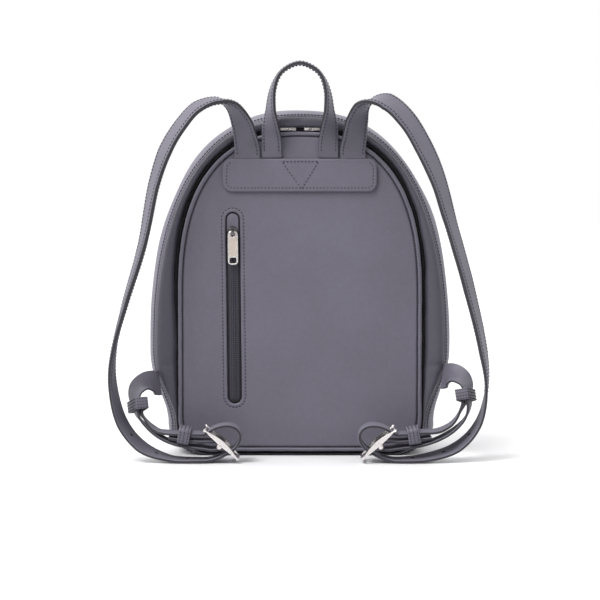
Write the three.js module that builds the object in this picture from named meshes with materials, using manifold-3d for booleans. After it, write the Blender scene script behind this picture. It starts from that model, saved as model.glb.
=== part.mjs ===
// A small dome-shaped backpack in soft leather, seen from the side that lies on the wearer's back.
// Millimetres, +Z up, +X to the right when looking at the back panel, which faces -Y.
// The origin is the centre of the flat base that the bag stands on.
import * as THREE from "three";
import { mergeVertices } from "three/addons/utils/BufferGeometryUtils.js";
import Module from "manifold-3d";

const wasm = await Module();
wasm.setup();

// The bag's body.
const BODY_WIDTH = 288;
const BODY_HEIGHT = 327;
const BODY_DEPTH = 104;
const WIDEST_UP = 98;
const FOOT_TUCK = 16;
const FOOT_CORNER = 28;
const SHELL_WALL = 2.5;
const CLEARANCE = 0.3;

// The back panel, its piping and the gusset round it.
const PANEL_SIDE_INSET = 33;
const PANEL_TOP_DROP = 24.4;
const PANEL_FOOT_RISE = 8.5;
const PANEL_WIDEST_UP = 150;
const WELT_WIDTH = 4;
const ZIP_GAP = 4.4;
const LIP_RISE = 4.5;
const SEAM_SIDE_INSET = 7.5;
const SEAM_TOP_DROP = 6.5;
const SEAM_FOOT_RISE = 0.6;
const SEAM_FOOT_TUCK = 10;
const SEAM_DEPTH = 10;
const ZIP_TAPE_THICK = 1.2;
const ZIP_CHAIN_WIDTH = 1.8;
const ZIP_CHAIN_THICK = 1.4;
const ZIP_END_UP = 86;

// The patch that the straps and the handle are sewn under.
const PATCH_HEIGHT = 31;
const PATCH_THICK = 2.6;
const PATCH_CORNER = 8.5;
const PATCH_DROP = 21.1;
const PATCH_MARGIN = 10.6;

// The top handle.
const HANDLE_WIDTH = 19;
const HANDLE_THICK = 3.8;
const HANDLE_SPACING = 53;
const HANDLE_RISE = 88.5;

// The shoulder straps, which end as belts, and the tabs that hold the buckles.
const STRAP_WIDTH = 24;
const STRAP_THICK = 4.5;
const STRAP_SPACING = 99.4;
const STRAP_REACH = 31;
const STRAP_STANDOFF = 30;
const BELT_THICK = 3;
const TAB_THICK = 2.6;
const HOLE_DIAMETER = 3.6;
const HOLE_PITCH = 30;
const HOLE_COUNT = 5;

// The buckles and the loops that keep the belts' ends.
const BUCKLE_LENGTH = 43;
const BUCKLE_FROM_SIDE = 70.8;
const BUCKLE_UP = 17.5;
const BUCKLE_SLOPE = 41.3;
const BUCKLE_BAR = 3;
const BUCKLE_SIDE = 2.6;
const BUCKLE_ARCH = 4.2;
const BUCKLE_OUT = 40;
const PRONG_DIAMETER = 2.4;
const KEEPER_LENGTH = 11;
const KEEPER_WALL = 1.5;
const KEEPER_ROOM = 4.6;

// The zip pocket in the back panel.
const POCKET_LENGTH = 181.5;
const POCKET_WIDTH = 13.4;
const POCKET_ACROSS = -62.6;
const POCKET_DROP = 19.25;
const POCKET_LEAN = -0.6;
const POCKET_RECESS = 1.8;
const POCKET_TAPE_THICK = 1.2;
const POCKET_COIL_WIDTH = 3.4;
const GARAGE_LENGTH = 18.2;
const GARAGE_THICK = 1;

// The zips' sliders and pullers.
const SLIDER_WIDTH = 9;
const SLIDER_LENGTH = 8;
const SLIDER_THICK = 3;
const SLIDER_DROP = 18.4;
const PULLER_WIDTH = 9.7;
const PULLER_LENGTH = 31;
const PULLER_THICK = 1.4;
const PULLER_WINDOW = 6.2;
const MAIN_SLIDER_WIDTH = 3.4;
const MAIN_SLIDER_LENGTH = 7.5;
const MAIN_SLIDER_APART = 15;
const MAIN_PULLER_WIDTH = 2.8;
const MAIN_PULLER_LENGTH = 11.6;

// What follows from the sizes above.
const HALF = BODY_WIDTH / 2;
const BACK_Y = -BODY_DEPTH / 2;
const SEAM_Y = BACK_Y + SEAM_DEPTH;
const TAPE_BACK_Y = SEAM_Y - CLEARANCE;
const TAPE_FRONT_Y = TAPE_BACK_Y - ZIP_TAPE_THICK;
const ON_TAPE_Y = TAPE_FRONT_Y - CLEARANCE;
const PANEL_TOP = BODY_HEIGHT - PANEL_TOP_DROP;
const PATCH_TOP = PANEL_TOP - PATCH_DROP;
const PATCH_WIDTH = STRAP_SPACING + STRAP_WIDTH + 2 * PATCH_MARGIN;
const POCKET_UP = PATCH_TOP - PATCH_HEIGHT - POCKET_DROP - POCKET_LENGTH / 2;
const ON_PANEL_Y = BACK_Y - CLEARANCE;

const LEATHER = { color: 0x76727f, roughness: 0.55, metalness: 0 };
const DARK_CLOTH = { color: 0x151417, roughness: 0.8, metalness: 0 };
const METAL = { color: 0xc9c3b6, roughness: 0.3, metalness: 1 };

const bag = new THREE.Group();

// Rows of a table as objects, one value for each name in the heading.
function table(heading, rows) {
  const names = heading.split(" ");
  return rows.map((row) => Object.fromEntries(names.map((name, i) => [name, row[i]])));
}

function blend(a, b, share) {
  return a + (b - a) * share;
}

function add(name, geometry, look) {
  const mesh = new THREE.Mesh(geometry, new THREE.MeshStandardMaterial(look));
  mesh.name = name;
  bag.add(mesh);
  return mesh;
}

// A closed mesh as a solid that can be joined and cut, and back again.
function toSolid(geometry) {
  const bare = geometry.index ? geometry.toNonIndexed() : geometry.clone();
  bare.deleteAttribute("normal");
  bare.deleteAttribute("uv");
  const merged = mergeVertices(bare, 1e-4);
  return new wasm.Manifold(
    new wasm.Mesh({
      numProp: 3,
      vertProperties: merged.attributes.position.array,
      triVerts: new Uint32Array(merged.index.array),
    }),
  );
}

function toGeometry(solid) {
  const mesh = solid.getMesh();
  const geometry = new THREE.BufferGeometry();
  const points = new THREE.BufferAttribute(new Float32Array(mesh.vertProperties), 3);
  geometry.setAttribute("position", points);
  geometry.setIndex(Array.from(mesh.triVerts));
  geometry.computeVertexNormals();
  return geometry;
}

// A skin over closed rings of equally many points. The first and last ring are capped,
// or joined to each other when the rings go all the way round.
function skin(rings, allRound) {
  const count = rings[0].length;
  const points = rings.flat().flatMap((p) => [p.x, p.y, p.z]);
  const index = [];
  const last = allRound ? rings.length : rings.length - 1;
  for (let r = 0; r < last; r++) {
    const next = (r + 1) % rings.length;
    for (let i = 0; i < count; i++) {
      const j = (i + 1) % count;
      const [a, b, c, d] = [r * count + i, r * count + j, next * count + j, next * count + i];
      index.push(a, b, c, a, c, d);
    }
  }
  if (!allRound) {
    index.push(...cap(rings[0], 0, true));
    index.push(...cap(rings[rings.length - 1], (rings.length - 1) * count, false));
  }
  const geometry = new THREE.BufferGeometry();
  geometry.setAttribute("position", new THREE.Float32BufferAttribute(points, 3));
  geometry.setIndex(index);
  geometry.computeVertexNormals();
  return outward(geometry);
}

// The triangles of a flat ring, found in the plane that the ring lies in.
function cap(ring, first, flip) {
  const centre = ring.reduce((sum, p) => sum.add(p), new THREE.Vector3()).divideScalar(ring.length);
  const normal = new THREE.Vector3();
  ring.forEach((p, i) => {
    const q = ring[(i + 1) % ring.length];
    normal.add(p.clone().sub(centre).cross(q.clone().sub(centre)));
  });
  const side = ring[0].clone().sub(centre).normalize();
  const up = normal.normalize().clone().cross(side);
  const flat = ring.map((p) => {
    const arm = p.clone().sub(centre);
    return new THREE.Vector2(arm.dot(side), arm.dot(up));
  });
  return THREE.ShapeUtils.triangulateShape(flat, []).flatMap(([a, b, c]) =>
    flip ? [first + a, first + c, first + b] : [first + a, first + b, first + c],
  );
}

// The geometry with its faces pointing out, whichever way its rings were listed.
function outward(geometry) {
  const p = geometry.getAttribute("position");
  const index = geometry.index.array;
  const [a, b, c] = [new THREE.Vector3(), new THREE.Vector3(), new THREE.Vector3()];
  let volume = 0;
  for (let i = 0; i < index.length; i += 3) {
    a.fromBufferAttribute(p, index[i]);
    b.fromBufferAttribute(p, index[i + 1]);
    c.fromBufferAttribute(p, index[i + 2]);
    volume += a.dot(b.cross(c));
  }
  if (volume > 0) return geometry;
  const turned = Array.from(index);
  for (let i = 0; i < turned.length; i += 3) {
    [turned[i + 1], turned[i + 2]] = [turned[i + 2], turned[i + 1]];
  }
  geometry.setIndex(turned);
  return geometry;
}

// A flat shape made thick between two depths, its drawing plane being X and Z.
function plate(shape, frontY, backY) {
  const options = { depth: backY - frontY, bevelEnabled: false, curveSegments: 2 };
  const geometry = new THREE.ExtrudeGeometry(shape, options);
  geometry.rotateX(Math.PI / 2);
  geometry.translate(0, backY, 0);
  return geometry;
}

function roundedBox(width, height, corner) {
  const shape = new THREE.Shape();
  const [w, h, r] = [width / 2, height / 2, Math.min(corner, width / 2.01, height / 2.01)];
  shape.moveTo(-w + r, -h);
  shape.lineTo(w - r, -h);
  shape.absarc(w - r, -h + r, r, -Math.PI / 2, 0, false);
  shape.lineTo(w, h - r);
  shape.absarc(w - r, h - r, r, 0, Math.PI / 2, false);
  shape.lineTo(-w + r, h);
  shape.absarc(-w + r, h - r, r, Math.PI / 2, Math.PI, false);
  shape.lineTo(-w, -h + r);
  shape.absarc(-w + r, -h + r, r, Math.PI, Math.PI * 1.5, false);
  return shape;
}

// THE BODY

const BASE_STEPS = 2;
const CORNER_STEPS = 3;
const SIDE_STEPS = 5;
const DOME_STEPS = 12;

// The outline of one upright section: a flat foot, round corners, sides that widen upward
// and a dome. It has the same number of points whatever its sizes are. An inset moves it in.
function outline(sizes, inset = 0) {
  const half = sizes.half - inset;
  const top = sizes.top - inset;
  const foot = sizes.foot + inset;
  const footHalf = sizes.footHalf - inset;
  const corner = Math.max(sizes.corner - inset / 2, 1);
  const { widest, squareness } = sizes;
  const right = [];
  for (let i = 0; i < BASE_STEPS; i++) {
    right.push([((footHalf - corner) * i) / BASE_STEPS, foot]);
  }
  for (let i = 0; i < CORNER_STEPS; i++) {
    const angle = (Math.PI / 2) * (i / CORNER_STEPS);
    right.push([
      footHalf - corner + corner * Math.sin(angle),
      foot + corner - corner * Math.cos(angle),
    ]);
  }
  const start = foot + corner;
  const side = new THREE.CubicBezierCurve(
    new THREE.Vector2(footHalf, start),
    new THREE.Vector2(footHalf, blend(start, widest, 0.3)),
    new THREE.Vector2(half, blend(start, widest, 0.6)),
    new THREE.Vector2(half, widest),
  );
  for (let i = 0; i < SIDE_STEPS; i++) {
    const p = side.getPoint(i / SIDE_STEPS);
    right.push([p.x, p.y]);
  }
  for (let i = 0; i <= DOME_STEPS; i++) {
    const angle = (Math.PI / 2) * (i / DOME_STEPS);
    right.push([
      half * Math.max(Math.cos(angle), 0) ** (2 / squareness),
      widest + (top - widest) * Math.sin(angle) ** (2 / squareness),
    ]);
  }
  right[right.length - 1][0] = 0;
  const left = right.slice(1, -1).reverse().map(([x, z]) => [-x, z]);
  return [...right, ...left].map(([x, z]) => new THREE.Vector3(x, 0, z));
}

function mixed(a, b, share) {
  const names = Object.keys(a);
  return Object.fromEntries(names.map((name) => [name, blend(a[name], b[name], share)]));
}

function atDepth(points, y) {
  return points.map((p) => new THREE.Vector3(p.x, y, p.z));
}

// The panel's edge, the inner edge of the lip, the shell's seam, its widest section and
// its front face.
const PANEL = {
  half: HALF - PANEL_SIDE_INSET,
  top: PANEL_TOP,
  foot: PANEL_FOOT_RISE,
  widest: PANEL_WIDEST_UP,
  footHalf: HALF - PANEL_SIDE_INSET,
  corner: FOOT_CORNER,
  squareness: 2.5,
};
const LIP_OFFSET = CLEARANCE + WELT_WIDTH + ZIP_GAP;
const LIP_EDGE = {
  half: PANEL.half + LIP_OFFSET,
  top: PANEL.top + LIP_OFFSET,
  foot: blend(SEAM_FOOT_RISE, PANEL.foot, 0.18),
  widest: PANEL_WIDEST_UP,
  footHalf: PANEL.footHalf + WELT_WIDTH + 2 * CLEARANCE,
  corner: FOOT_CORNER + WELT_WIDTH / 2,
  squareness: 2.5,
};
const FULL = {
  half: HALF,
  top: BODY_HEIGHT,
  foot: 0,
  widest: WIDEST_UP,
  footHalf: HALF - FOOT_TUCK,
  corner: FOOT_CORNER,
  squareness: 2.4,
};
const SEAM = {
  half: HALF - SEAM_SIDE_INSET,
  top: BODY_HEIGHT - SEAM_TOP_DROP,
  foot: SEAM_FOOT_RISE,
  widest: WIDEST_UP,
  footHalf: FULL.footHalf - SEAM_FOOT_TUCK,
  corner: FOOT_CORNER,
  squareness: 2.4,
};
const FRONT = {
  half: FULL.half * 0.74,
  top: FULL.top * 0.78,
  foot: FULL.top * 0.075,
  widest: WIDEST_UP * 1.1,
  footHalf: FULL.footHalf * 0.72,
  corner: FOOT_CORNER * 0.9,
  squareness: 2.4,
};

// Sections of the shell from the back seam to the front face. Depth is a share of the way
// between them; toFull and toFront say how far each section has gone to the next outline.
const SHELL_SECTIONS = table("depth toFull toFront", [
  [0.0, 0.0, 0.0],
  [0.06, 0.5, 0.0],
  [0.18, 0.85, 0.0],
  [0.36, 1.0, 0.0],
  [0.62, 1.0, 0.0],
  [0.78, 1.0, 0.13],
  [0.89, 1.0, 0.36],
  [0.96, 1.0, 0.68],
  [1.0, 1.0, 1.0],
]);

function frontShell() {
  const section = ({ depth, toFull, toFront }, inset) => {
    const sizes = toFront > 0 ? mixed(FULL, FRONT, toFront) : mixed(SEAM, FULL, toFull);
    return atDepth(outline(sizes, inset), blend(SEAM_Y, -BACK_Y - inset, depth));
  };
  const outer = SHELL_SECTIONS.map((row) => section(row, 0));
  const inner = SHELL_SECTIONS.map((row) => section(row, SHELL_WALL));
  add("front_shell", skin([...outer.reverse(), ...inner], false), LEATHER);
}

// A band that runs round the panel: its profile's rings, joined to each other.
function bandRound(rings) {
  return skin(rings, true);
}

// The padded lip: out of the seam, over a puffy crest and down into the zip's gap. Across
// is a share of the way from the zip's gap to the seam, rise a share of the lip's height.
const LIP_PROFILE = table("across rise", [
  [0.97, 0.0],
  [0.97, 0.3],
  [0.88, 0.75],
  [0.68, 1.0],
  [0.42, 0.97],
  [0.18, 0.75],
  [0.04, 0.4],
  [0.0, 0.0],
]);

function gussetLip() {
  const rings = LIP_PROFILE.map(({ across, rise }) =>
    atDepth(outline(mixed(LIP_EDGE, SEAM, across)), ON_TAPE_Y - rise * LIP_RISE),
  );
  add("gusset_lip", bandRound(rings), LEATHER);
}

// The tape closes the gap between the panel and the lip, and lies under the edges of both.
const TAPE_UNDER_PANEL = 3;
const TAPE_UNDER_LIP = 0.5;

function mainZipTape() {
  const inner = outline(PANEL, TAPE_UNDER_PANEL);
  const outer = outline(mixed(LIP_EDGE, SEAM, TAPE_UNDER_LIP));
  const rings = [
    atDepth(inner, TAPE_FRONT_Y),
    atDepth(outer, TAPE_FRONT_Y),
    atDepth(outer, TAPE_BACK_Y),
    atDepth(inner, TAPE_BACK_Y),
  ];
  add("main_zip_tape", bandRound(rings), DARK_CLOTH);
}

// The zip's chain runs up from the end of each side to the slider near the top's middle.
const CHAIN_OFFSET = CLEARANCE + WELT_WIDTH + ZIP_GAP / 2;
const CHAIN_STOP = (MAIN_SLIDER_APART + MAIN_SLIDER_LENGTH) / 2 + CLEARANCE;

function chainPath() {
  const topIndex = BASE_STEPS + CORNER_STEPS + SIDE_STEPS + DOME_STEPS;
  const lip = outline(LIP_EDGE);
  const middle = outline(PANEL, -CLEARANCE - WELT_WIDTH).map((p, i) => p.clone().lerp(lip[i], 0.5));
  const rightHalf = middle.slice(BASE_STEPS, topIndex + 1);
  const curve = new THREE.CatmullRomCurve3(rightHalf, false, "centripetal");
  return curve.getSpacedPoints(160).filter((p) => p.z > ZIP_END_UP && p.x > CHAIN_STOP);
}

function mainZipChain(side) {
  const path = chainPath().filter((_, i, list) => i % 5 === 0 || i === list.length - 1);
  const rings = path.map((p, i) => {
    const a = path[Math.max(i - 1, 0)];
    const b = path[Math.min(i + 1, path.length - 1)];
    const along = b.clone().sub(a).normalize();
    const out = new THREE.Vector3(along.z, 0, -along.x).multiplyScalar(ZIP_CHAIN_WIDTH / 2);
    const corner = (sign, y) =>
      new THREE.Vector3(side.sign * (p.x + sign * out.x), y, p.z + sign * out.z);
    const front = ON_TAPE_Y - ZIP_CHAIN_THICK;
    return [corner(-1, ON_TAPE_Y), corner(1, ON_TAPE_Y), corner(0.5, front), corner(-0.5, front)];
  });
  add("main_zip_chain_" + side.name, skin(rings, false), DARK_CLOTH);
}

// THE BACK PANEL

function pocketSlot(grow) {
  const shape = roundedBox(POCKET_WIDTH + 2 * grow, POCKET_LENGTH + 2 * grow, POCKET_WIDTH);
  return placedOnPocket(plate(shape, BACK_Y - 1, SEAM_Y));
}

// Leans a piece drawn about the pocket's middle and carries it to the pocket's place.
function placedOnPocket(geometry) {
  geometry.rotateY(THREE.MathUtils.degToRad(POCKET_LEAN));
  geometry.translate(POCKET_ACROSS, 0, POCKET_UP);
  return geometry;
}

const PANEL_ROUNDING = table("inset back", [
  [0.0, 1.0],
  [0.0, 0.22],
  [0.5, 0.07],
  [2.2, 0.0],
]);

function backPanel() {
  const thick = ON_TAPE_Y - BACK_Y;
  const rings = PANEL_ROUNDING.map(({ inset, back }) =>
    atDepth(outline(PANEL, inset), BACK_Y + back * thick),
  );
  const cut = toSolid(skin(rings, false)).subtract(toSolid(pocketSlot(0)));
  add("back_panel", toGeometry(cut), LEATHER);
}

const WELT_SIDES = 6;
const WELT_BACK = 2.6;

function panelWelt() {
  const radius = WELT_WIDTH / 2;
  const rings = [];
  for (let i = 0; i < WELT_SIDES; i++) {
    const angle = (2 * Math.PI * (i + 0.5)) / WELT_SIDES;
    const offset = CLEARANCE + radius + radius * Math.cos(angle);
    rings.push(atDepth(outline(PANEL, -offset), BACK_Y + WELT_BACK + radius * Math.sin(angle)));
  }
  add("panel_welt", bandRound(rings), LEATHER);
}

function yokePatch() {
  const shape = roundedBox(PATCH_WIDTH, PATCH_HEIGHT, PATCH_CORNER);
  const patch = plate(shape, ON_PANEL_Y - PATCH_THICK, ON_PANEL_Y);
  patch.translate(0, 0, PATCH_TOP - PATCH_HEIGHT / 2);
  add("yoke_patch", patch, LEATHER);
}

// RIBBONS: straps, belts, tabs and the handle

const BACKWARD = new THREE.Vector3(0, -1, 0);
const RIBBON_STEPS = 2;

// Where a route is at a place along it, with the ribbon's width direction, which points at
// the wearer unless the row's roll turns it about the route, and its thickness direction.
function frameAt(route, place) {
  const last = route.rows.length - 1;
  const u = Math.min(Math.max(place / last, 0), 1);
  const centre = route.curve.getPoint(u);
  const along = route.curve.getTangent(u);
  const before = Math.min(Math.floor(u * last), last - 1);
  const share = u * last - before;
  const mix = (name) => blend(route.rows[before][name], route.rows[before + 1][name], share);
  const wide = BACKWARD.clone().addScaledVector(along, -BACKWARD.dot(along)).normalize();
  wide.applyAxisAngle(along, THREE.MathUtils.degToRad(mix("roll")));
  const thick = along.clone().cross(wide).normalize();
  return { centre, along, wide, thick, depth: mix("thick") };
}

function routeThrough(rows) {
  const points = rows.map((row) => new THREE.Vector3(row.x, row.y, row.z));
  return { rows, curve: new THREE.CatmullRomCurve3(points, false, "centripetal") };
}

// A flat ribbon with softened edges along a route.
function ribbon(route, width) {
  const count = (route.rows.length - 1) * RIBBON_STEPS;
  const rings = [];
  for (let i = 0; i <= count; i++) {
    const { centre, wide, thick, depth } = frameAt(route, i / RIBBON_STEPS);
    const [w, t] = [width / 2, depth / 2];
    const soft = depth * 0.3;
    const corners = [
      [w, -t + soft], [w, t - soft], [w - soft, t], [-w + soft, t],
      [-w, t - soft], [-w, -t + soft], [-w + soft, -t], [w - soft, -t],
    ];
    rings.push(
      corners.map(([a, b]) => centre.clone().addScaledVector(wide, a).addScaledVector(thick, b)),
    );
  }
  return skin(rings, false);
}

// The handle rises from the patch and turns its face up at the top. Across is a share of
// half its spacing, up of its rise, out of half its width and depth of its thickness.
const HANDLE_ROWS = table("across up out turn depth", [
  [1.0, 0.0, 0.0, 90, 0.65],
  [1.01, 0.2, 0.3, 76, 0.8],
  [1.03, 0.34, 0.66, 52, 1.0],
  [1.03, 0.5, 0.85, 24, 1.0],
  [0.97, 0.7, 0.85, 11, 1.0],
  [0.79, 0.85, 0.75, 3, 1.0],
  [0.52, 0.94, 0.7, 0, 1.0],
  [0.0, 1.0, 0.65, 0, 1.0],
]);

function topHandle() {
  const foot = PATCH_TOP + 2 * CLEARANCE;
  const row = (sign) => ({ across, up, out, turn, depth }) => {
    const thick = depth * HANDLE_THICK;
    const y = ON_PANEL_Y - thick / 2 - (out * HANDLE_WIDTH) / 2;
    const x = (sign * across * HANDLE_SPACING) / 2;
    return { x, y, z: foot + up * HANDLE_RISE, roll: turn, thick };
  };
  const left = HANDLE_ROWS.map(row(-1));
  const right = HANDLE_ROWS.slice(0, -1).reverse().map(row(1));
  add("top_handle", ribbon(routeThrough([...left, ...right]), HANDLE_WIDTH), LEATHER);
}

// Each side has its own routes, since no two straps lie alike. Strap rows: across is a share
// of the way from the patch out to the strap's reach, up a share of the patch's height, out
// a share of the strap's standoff from the panel. Tab and belt-end rows: across and up are
// shares of the way from the buckle to the tab's root, out a share of the buckle's distance.
const STRAP_HEADING = "across up out roll depth";
const LOW_HEADING = "across up out roll";
const SIDES = [
  {
    name: "left",
    sign: -1,
    tabUp: 69,
    strap: table(STRAP_HEADING, [
      [0.0, 1.0, 0.0, -90, 0.6],
      [0.0, 1.03, 0.03, -84, 0.75],
      [0.01, 1.066, 0.133, -66, 0.9],
      [0.038, 1.119, 0.25, -51, 1.0],
      [0.108, 1.174, 0.4, -22, 1.0],
      [0.206, 1.191, 0.517, 8, 1.0],
      [0.361, 1.171, 0.633, 22, 1.0],
      [0.497, 1.105, 0.717, 26, 1.0],
      [0.602, 1.025, 0.8, 28, 1.0],
      [0.682, 0.92, 0.867, 22.6, 1.0],
      [0.777, 0.709, 0.933, 15, 1.0],
      [0.9, 0.524, 0.983, 8.5, 1.0],
      [0.987, 0.368, 1.017, 0, 0.9],
      [0.998, 0.256, 1.033, -10, 0.7],
      [0.923, 0.125, 1.1, -18, 0.67],
      [0.785, 0.05, 1.167, -16, 0.67],
      [0.577, 0.012, 1.267, -3, 0.67],
      [0.377, 0.007, 1.333, 0, 0.67],
    ]),
    tab: table(LOW_HEADING, [
      [1.0, 1.0, -0.163, 72],
      [1.169, 1.019, 0.2, 55],
      [1.287, 0.942, 0.5, 36],
      [1.334, 0.816, 0.637, 26],
      [1.329, 0.66, 0.7, 20.4],
      [1.295, 0.489, 0.738, 10.7],
      [1.18, 0.324, 0.8, 4.3],
      [1.025, 0.171, 0.875, 1.7],
      [0.857, 0.064, 0.95, 0],
      [0.671, -0.012, 1.0, 0],
    ]),
    beltEnd: table(LOW_HEADING, [
      [1.219, 0.476, 0.72, -8],
      [1.101, 0.326, 0.8, -4],
      [0.975, 0.229, 0.9, -1],
      [0.823, 0.194, 0.975, 0],
      [0.696, 0.184, 1.0, 0],
    ]),
    keeperAcross: 0.8,
  },
  {
    name: "right",
    sign: 1,
    tabUp: 75,
    strap: table(STRAP_HEADING, [
      [0.0, 1.0, 0.0, -90, 0.6],
      [0.0, 1.03, 0.03, -84, 0.75],
      [0.011, 1.065, 0.133, -70, 0.9],
      [0.029, 1.126, 0.267, -56, 1.0],
      [0.065, 1.171, 0.367, -30, 1.0],
      [0.13, 1.19, 0.45, 2, 1.0],
      [0.247, 1.188, 0.533, 38, 1.0],
      [0.394, 1.131, 0.633, 43, 1.0],
      [0.517, 1.041, 0.733, 43, 1.0],
      [0.625, 0.934, 0.817, 35, 1.0],
      [0.721, 0.788, 0.883, 26, 1.0],
      [0.856, 0.577, 0.95, 22, 1.0],
      [0.965, 0.365, 1.017, 16, 0.9],
      [0.992, 0.249, 1.033, 6, 0.7],
      [0.928, 0.124, 1.1, -8, 0.67],
      [0.769, 0.048, 1.2, -14, 0.67],
      [0.545, 0.015, 1.3, -8, 0.67],
      [0.377, 0.008, 1.333, -2, 0.67],
    ]),
    tab: table(LOW_HEADING, [
      [1.0, 1.0, -0.163, 58],
      [1.126, 1.045, 0.2, 55],
      [1.245, 1.0, 0.5, 36],
      [1.315, 0.9, 0.645, 24.0],
      [1.338, 0.765, 0.705, 17.0],
      [1.354, 0.58, 0.75, 11.7],
      [1.292, 0.395, 0.8, 5.1],
      [1.167, 0.247, 0.85, 1.9],
      [0.992, 0.123, 0.925, 0],
      [0.803, 0.032, 0.975, 0],
      [0.6, -0.03, 1.0, 0],
    ]),
    beltEnd: table(LOW_HEADING, [
      [1.25, 0.565, 0.75, -9],
      [1.175, 0.417, 0.79, -5],
      [1.076, 0.301, 0.85, -2],
      [0.924, 0.214, 0.925, 0],
      [0.806, 0.188, 0.975, 0],
      [0.648, 0.184, 1.0, 0],
    ]),
    keeperAcross: 0.75,
  },
];

// The row of each tab's table at which its upper keeper sits.
const UPPER_KEEPER_ROW = 4;

const BUCKLE_X = HALF - BUCKLE_FROM_SIDE;
const BUCKLE_Y = BACK_Y - BUCKLE_OUT;
const SLOPE = THREE.MathUtils.degToRad(BUCKLE_SLOPE);

// A point beside the buckle, in shares of its length outward and up from its middle.
function besideBuckle(side, { across, up }) {
  return {
    x: side.sign * (BUCKLE_X + across * BUCKLE_LENGTH),
    y: BUCKLE_Y,
    z: BUCKLE_UP + up * BUCKLE_LENGTH,
  };
}

// A point in the buckle's own plane: along its length, outward end positive, and off its face.
function onBuckle(side, along, off) {
  return {
    x: side.sign * (BUCKLE_X + along * Math.cos(SLOPE) - off * Math.sin(SLOPE)),
    y: BUCKLE_Y,
    z: BUCKLE_UP + along * Math.sin(SLOPE) + off * Math.cos(SLOPE),
  };
}

// Half the width of the shell's seam at a height.
function seamHalf(up) {
  const points = outline(SEAM).filter((p) => p.x > 0);
  const above = points.findIndex((p) => p.z > up);
  const [a, b] = [points[above - 1], points[above]];
  return blend(a.x, b.x, (up - a.z) / (b.z - a.z));
}

// The tab leaves the seam just outside it, so that it clears the lip.
const TAB_ROOT_OUT = 3.2;

function lowPoint(side, { across, up, out }) {
  return {
    x: side.sign * blend(BUCKLE_X, seamHalf(side.tabUp) + TAB_ROOT_OUT, across),
    y: BACK_Y - out * BUCKLE_OUT,
    z: blend(BUCKLE_UP, side.tabUp, up),
  };
}

const BAR_OFF = -2.2;
const BAR_RADIUS = BUCKLE_BAR / 2;
const WRAP_RADIUS = BAR_RADIUS + CLEARANCE + TAB_THICK / 2;
const WRAP_STEPS = 5;

// The tab runs from the seam through the upper keeper and down to the buckle, folds round
// the buckle's middle bar and ends just past the lower keeper.
const TAB_FOLD_ROWS = table("across up", [
  [0.68, -0.062],
  [0.39, -0.1],
  [0.2, -0.128],
]);
const TAB_END_ROWS = table("across up", [
  [0.251, 0.056],
  [0.507, 0.058],
  [0.8, 0.086],
  [0.995, 0.114],
  [1.135, 0.135],
]);

function tabRows(side) {
  const low = (row) => ({
    ...lowPoint(side, row),
    roll: side.sign * row.roll,
    thick: TAB_THICK,
  });
  const beside = (row) => ({ ...besideBuckle(side, row), roll: 0, thick: TAB_THICK });
  const wrap = [];
  for (let i = 0; i < WRAP_STEPS; i++) {
    const angle = THREE.MathUtils.degToRad(blend(-95, 75, i / (WRAP_STEPS - 1)));
    const bar = onBuckle(side, 0, BAR_OFF);
    const x = bar.x - side.sign * WRAP_RADIUS * Math.cos(angle);
    const z = bar.z + WRAP_RADIUS * Math.sin(angle);
    wrap.push({ x, y: BUCKLE_Y, z, roll: 0, thick: TAB_THICK });
  }
  return [
    ...side.tab.map(low),
    ...TAB_FOLD_ROWS.map(beside),
    ...wrap,
    ...TAB_END_ROWS.map(beside),
  ];
}

// The belt's way through the buckle as shares of the buckle's length: off the floor, up
// through the inner window, round in a wide loop and down through the outer window.
const LOOP_ROWS = table("along off", [
  [-0.043, -0.43],
  [-0.163, -0.231],
  [-0.239, -0.029],
  [-0.279, 0.13],
  [-0.267, 0.281],
  [-0.199, 0.407],
  [-0.073, 0.47],
  [0.075, 0.445],
  [0.198, 0.356],
  [0.299, 0.224],
  [0.363, 0.075],
  [0.405, -0.07],
]);
const BELT_OUT_OF_BUCKLE = { across: 0.53, up: 0.212 };
const BELT_GAP = 1.2;

function strapRows(side, tabRoute) {
  const reach = HALF + STRAP_REACH;
  const upper = side.strap.map(({ across, up, out, roll, depth }) => {
    const thick = depth * STRAP_THICK;
    return {
      x: side.sign * blend(STRAP_SPACING / 2, reach, across),
      y: ON_PANEL_Y - thick / 2 - out * STRAP_STANDOFF,
      z: Math.max(up * PATCH_TOP + (up >= 1 ? CLEARANCE : 0), thick / 2 + CLEARANCE),
      roll: side.sign * roll,
      thick,
    };
  });
  const loop = LOOP_ROWS.map(({ along, off }) => ({
    ...onBuckle(side, along * BUCKLE_LENGTH, off * BUCKLE_LENGTH),
    roll: 0,
    thick: BELT_THICK,
  }));
  const low = ({ across, up, out, roll }) => ({
    ...lowPoint(side, { across, up, out }),
    roll: side.sign * roll,
    thick: BELT_THICK,
  });
  const beside = { ...besideBuckle(side, BELT_OUT_OF_BUCKLE), roll: 0, thick: BELT_THICK };
  const end = [1, 0, -1].map((step) => {
    const { centre, along, thick } = frameAt(tabRoute, UPPER_KEEPER_ROW);
    const stack = (TAB_THICK + BELT_THICK) / 2 + BELT_GAP;
    const inward = Math.sign(thick.x) === side.sign ? -1 : 1;
    const p = centre.addScaledVector(thick, inward * stack);
    p.addScaledVector(along, (step * KEEPER_LENGTH) / 3);
    const roll = -side.sign * side.tab[UPPER_KEEPER_ROW].roll;
    return { x: p.x, y: p.y, z: p.z, roll, thick: BELT_THICK };
  });
  return [
    ...upper,
    ...loop,
    beside,
    ...side.beltEnd.toReversed().map(low),
    ...end,
  ];
}

// THE BUCKLES AND KEEPERS

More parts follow.
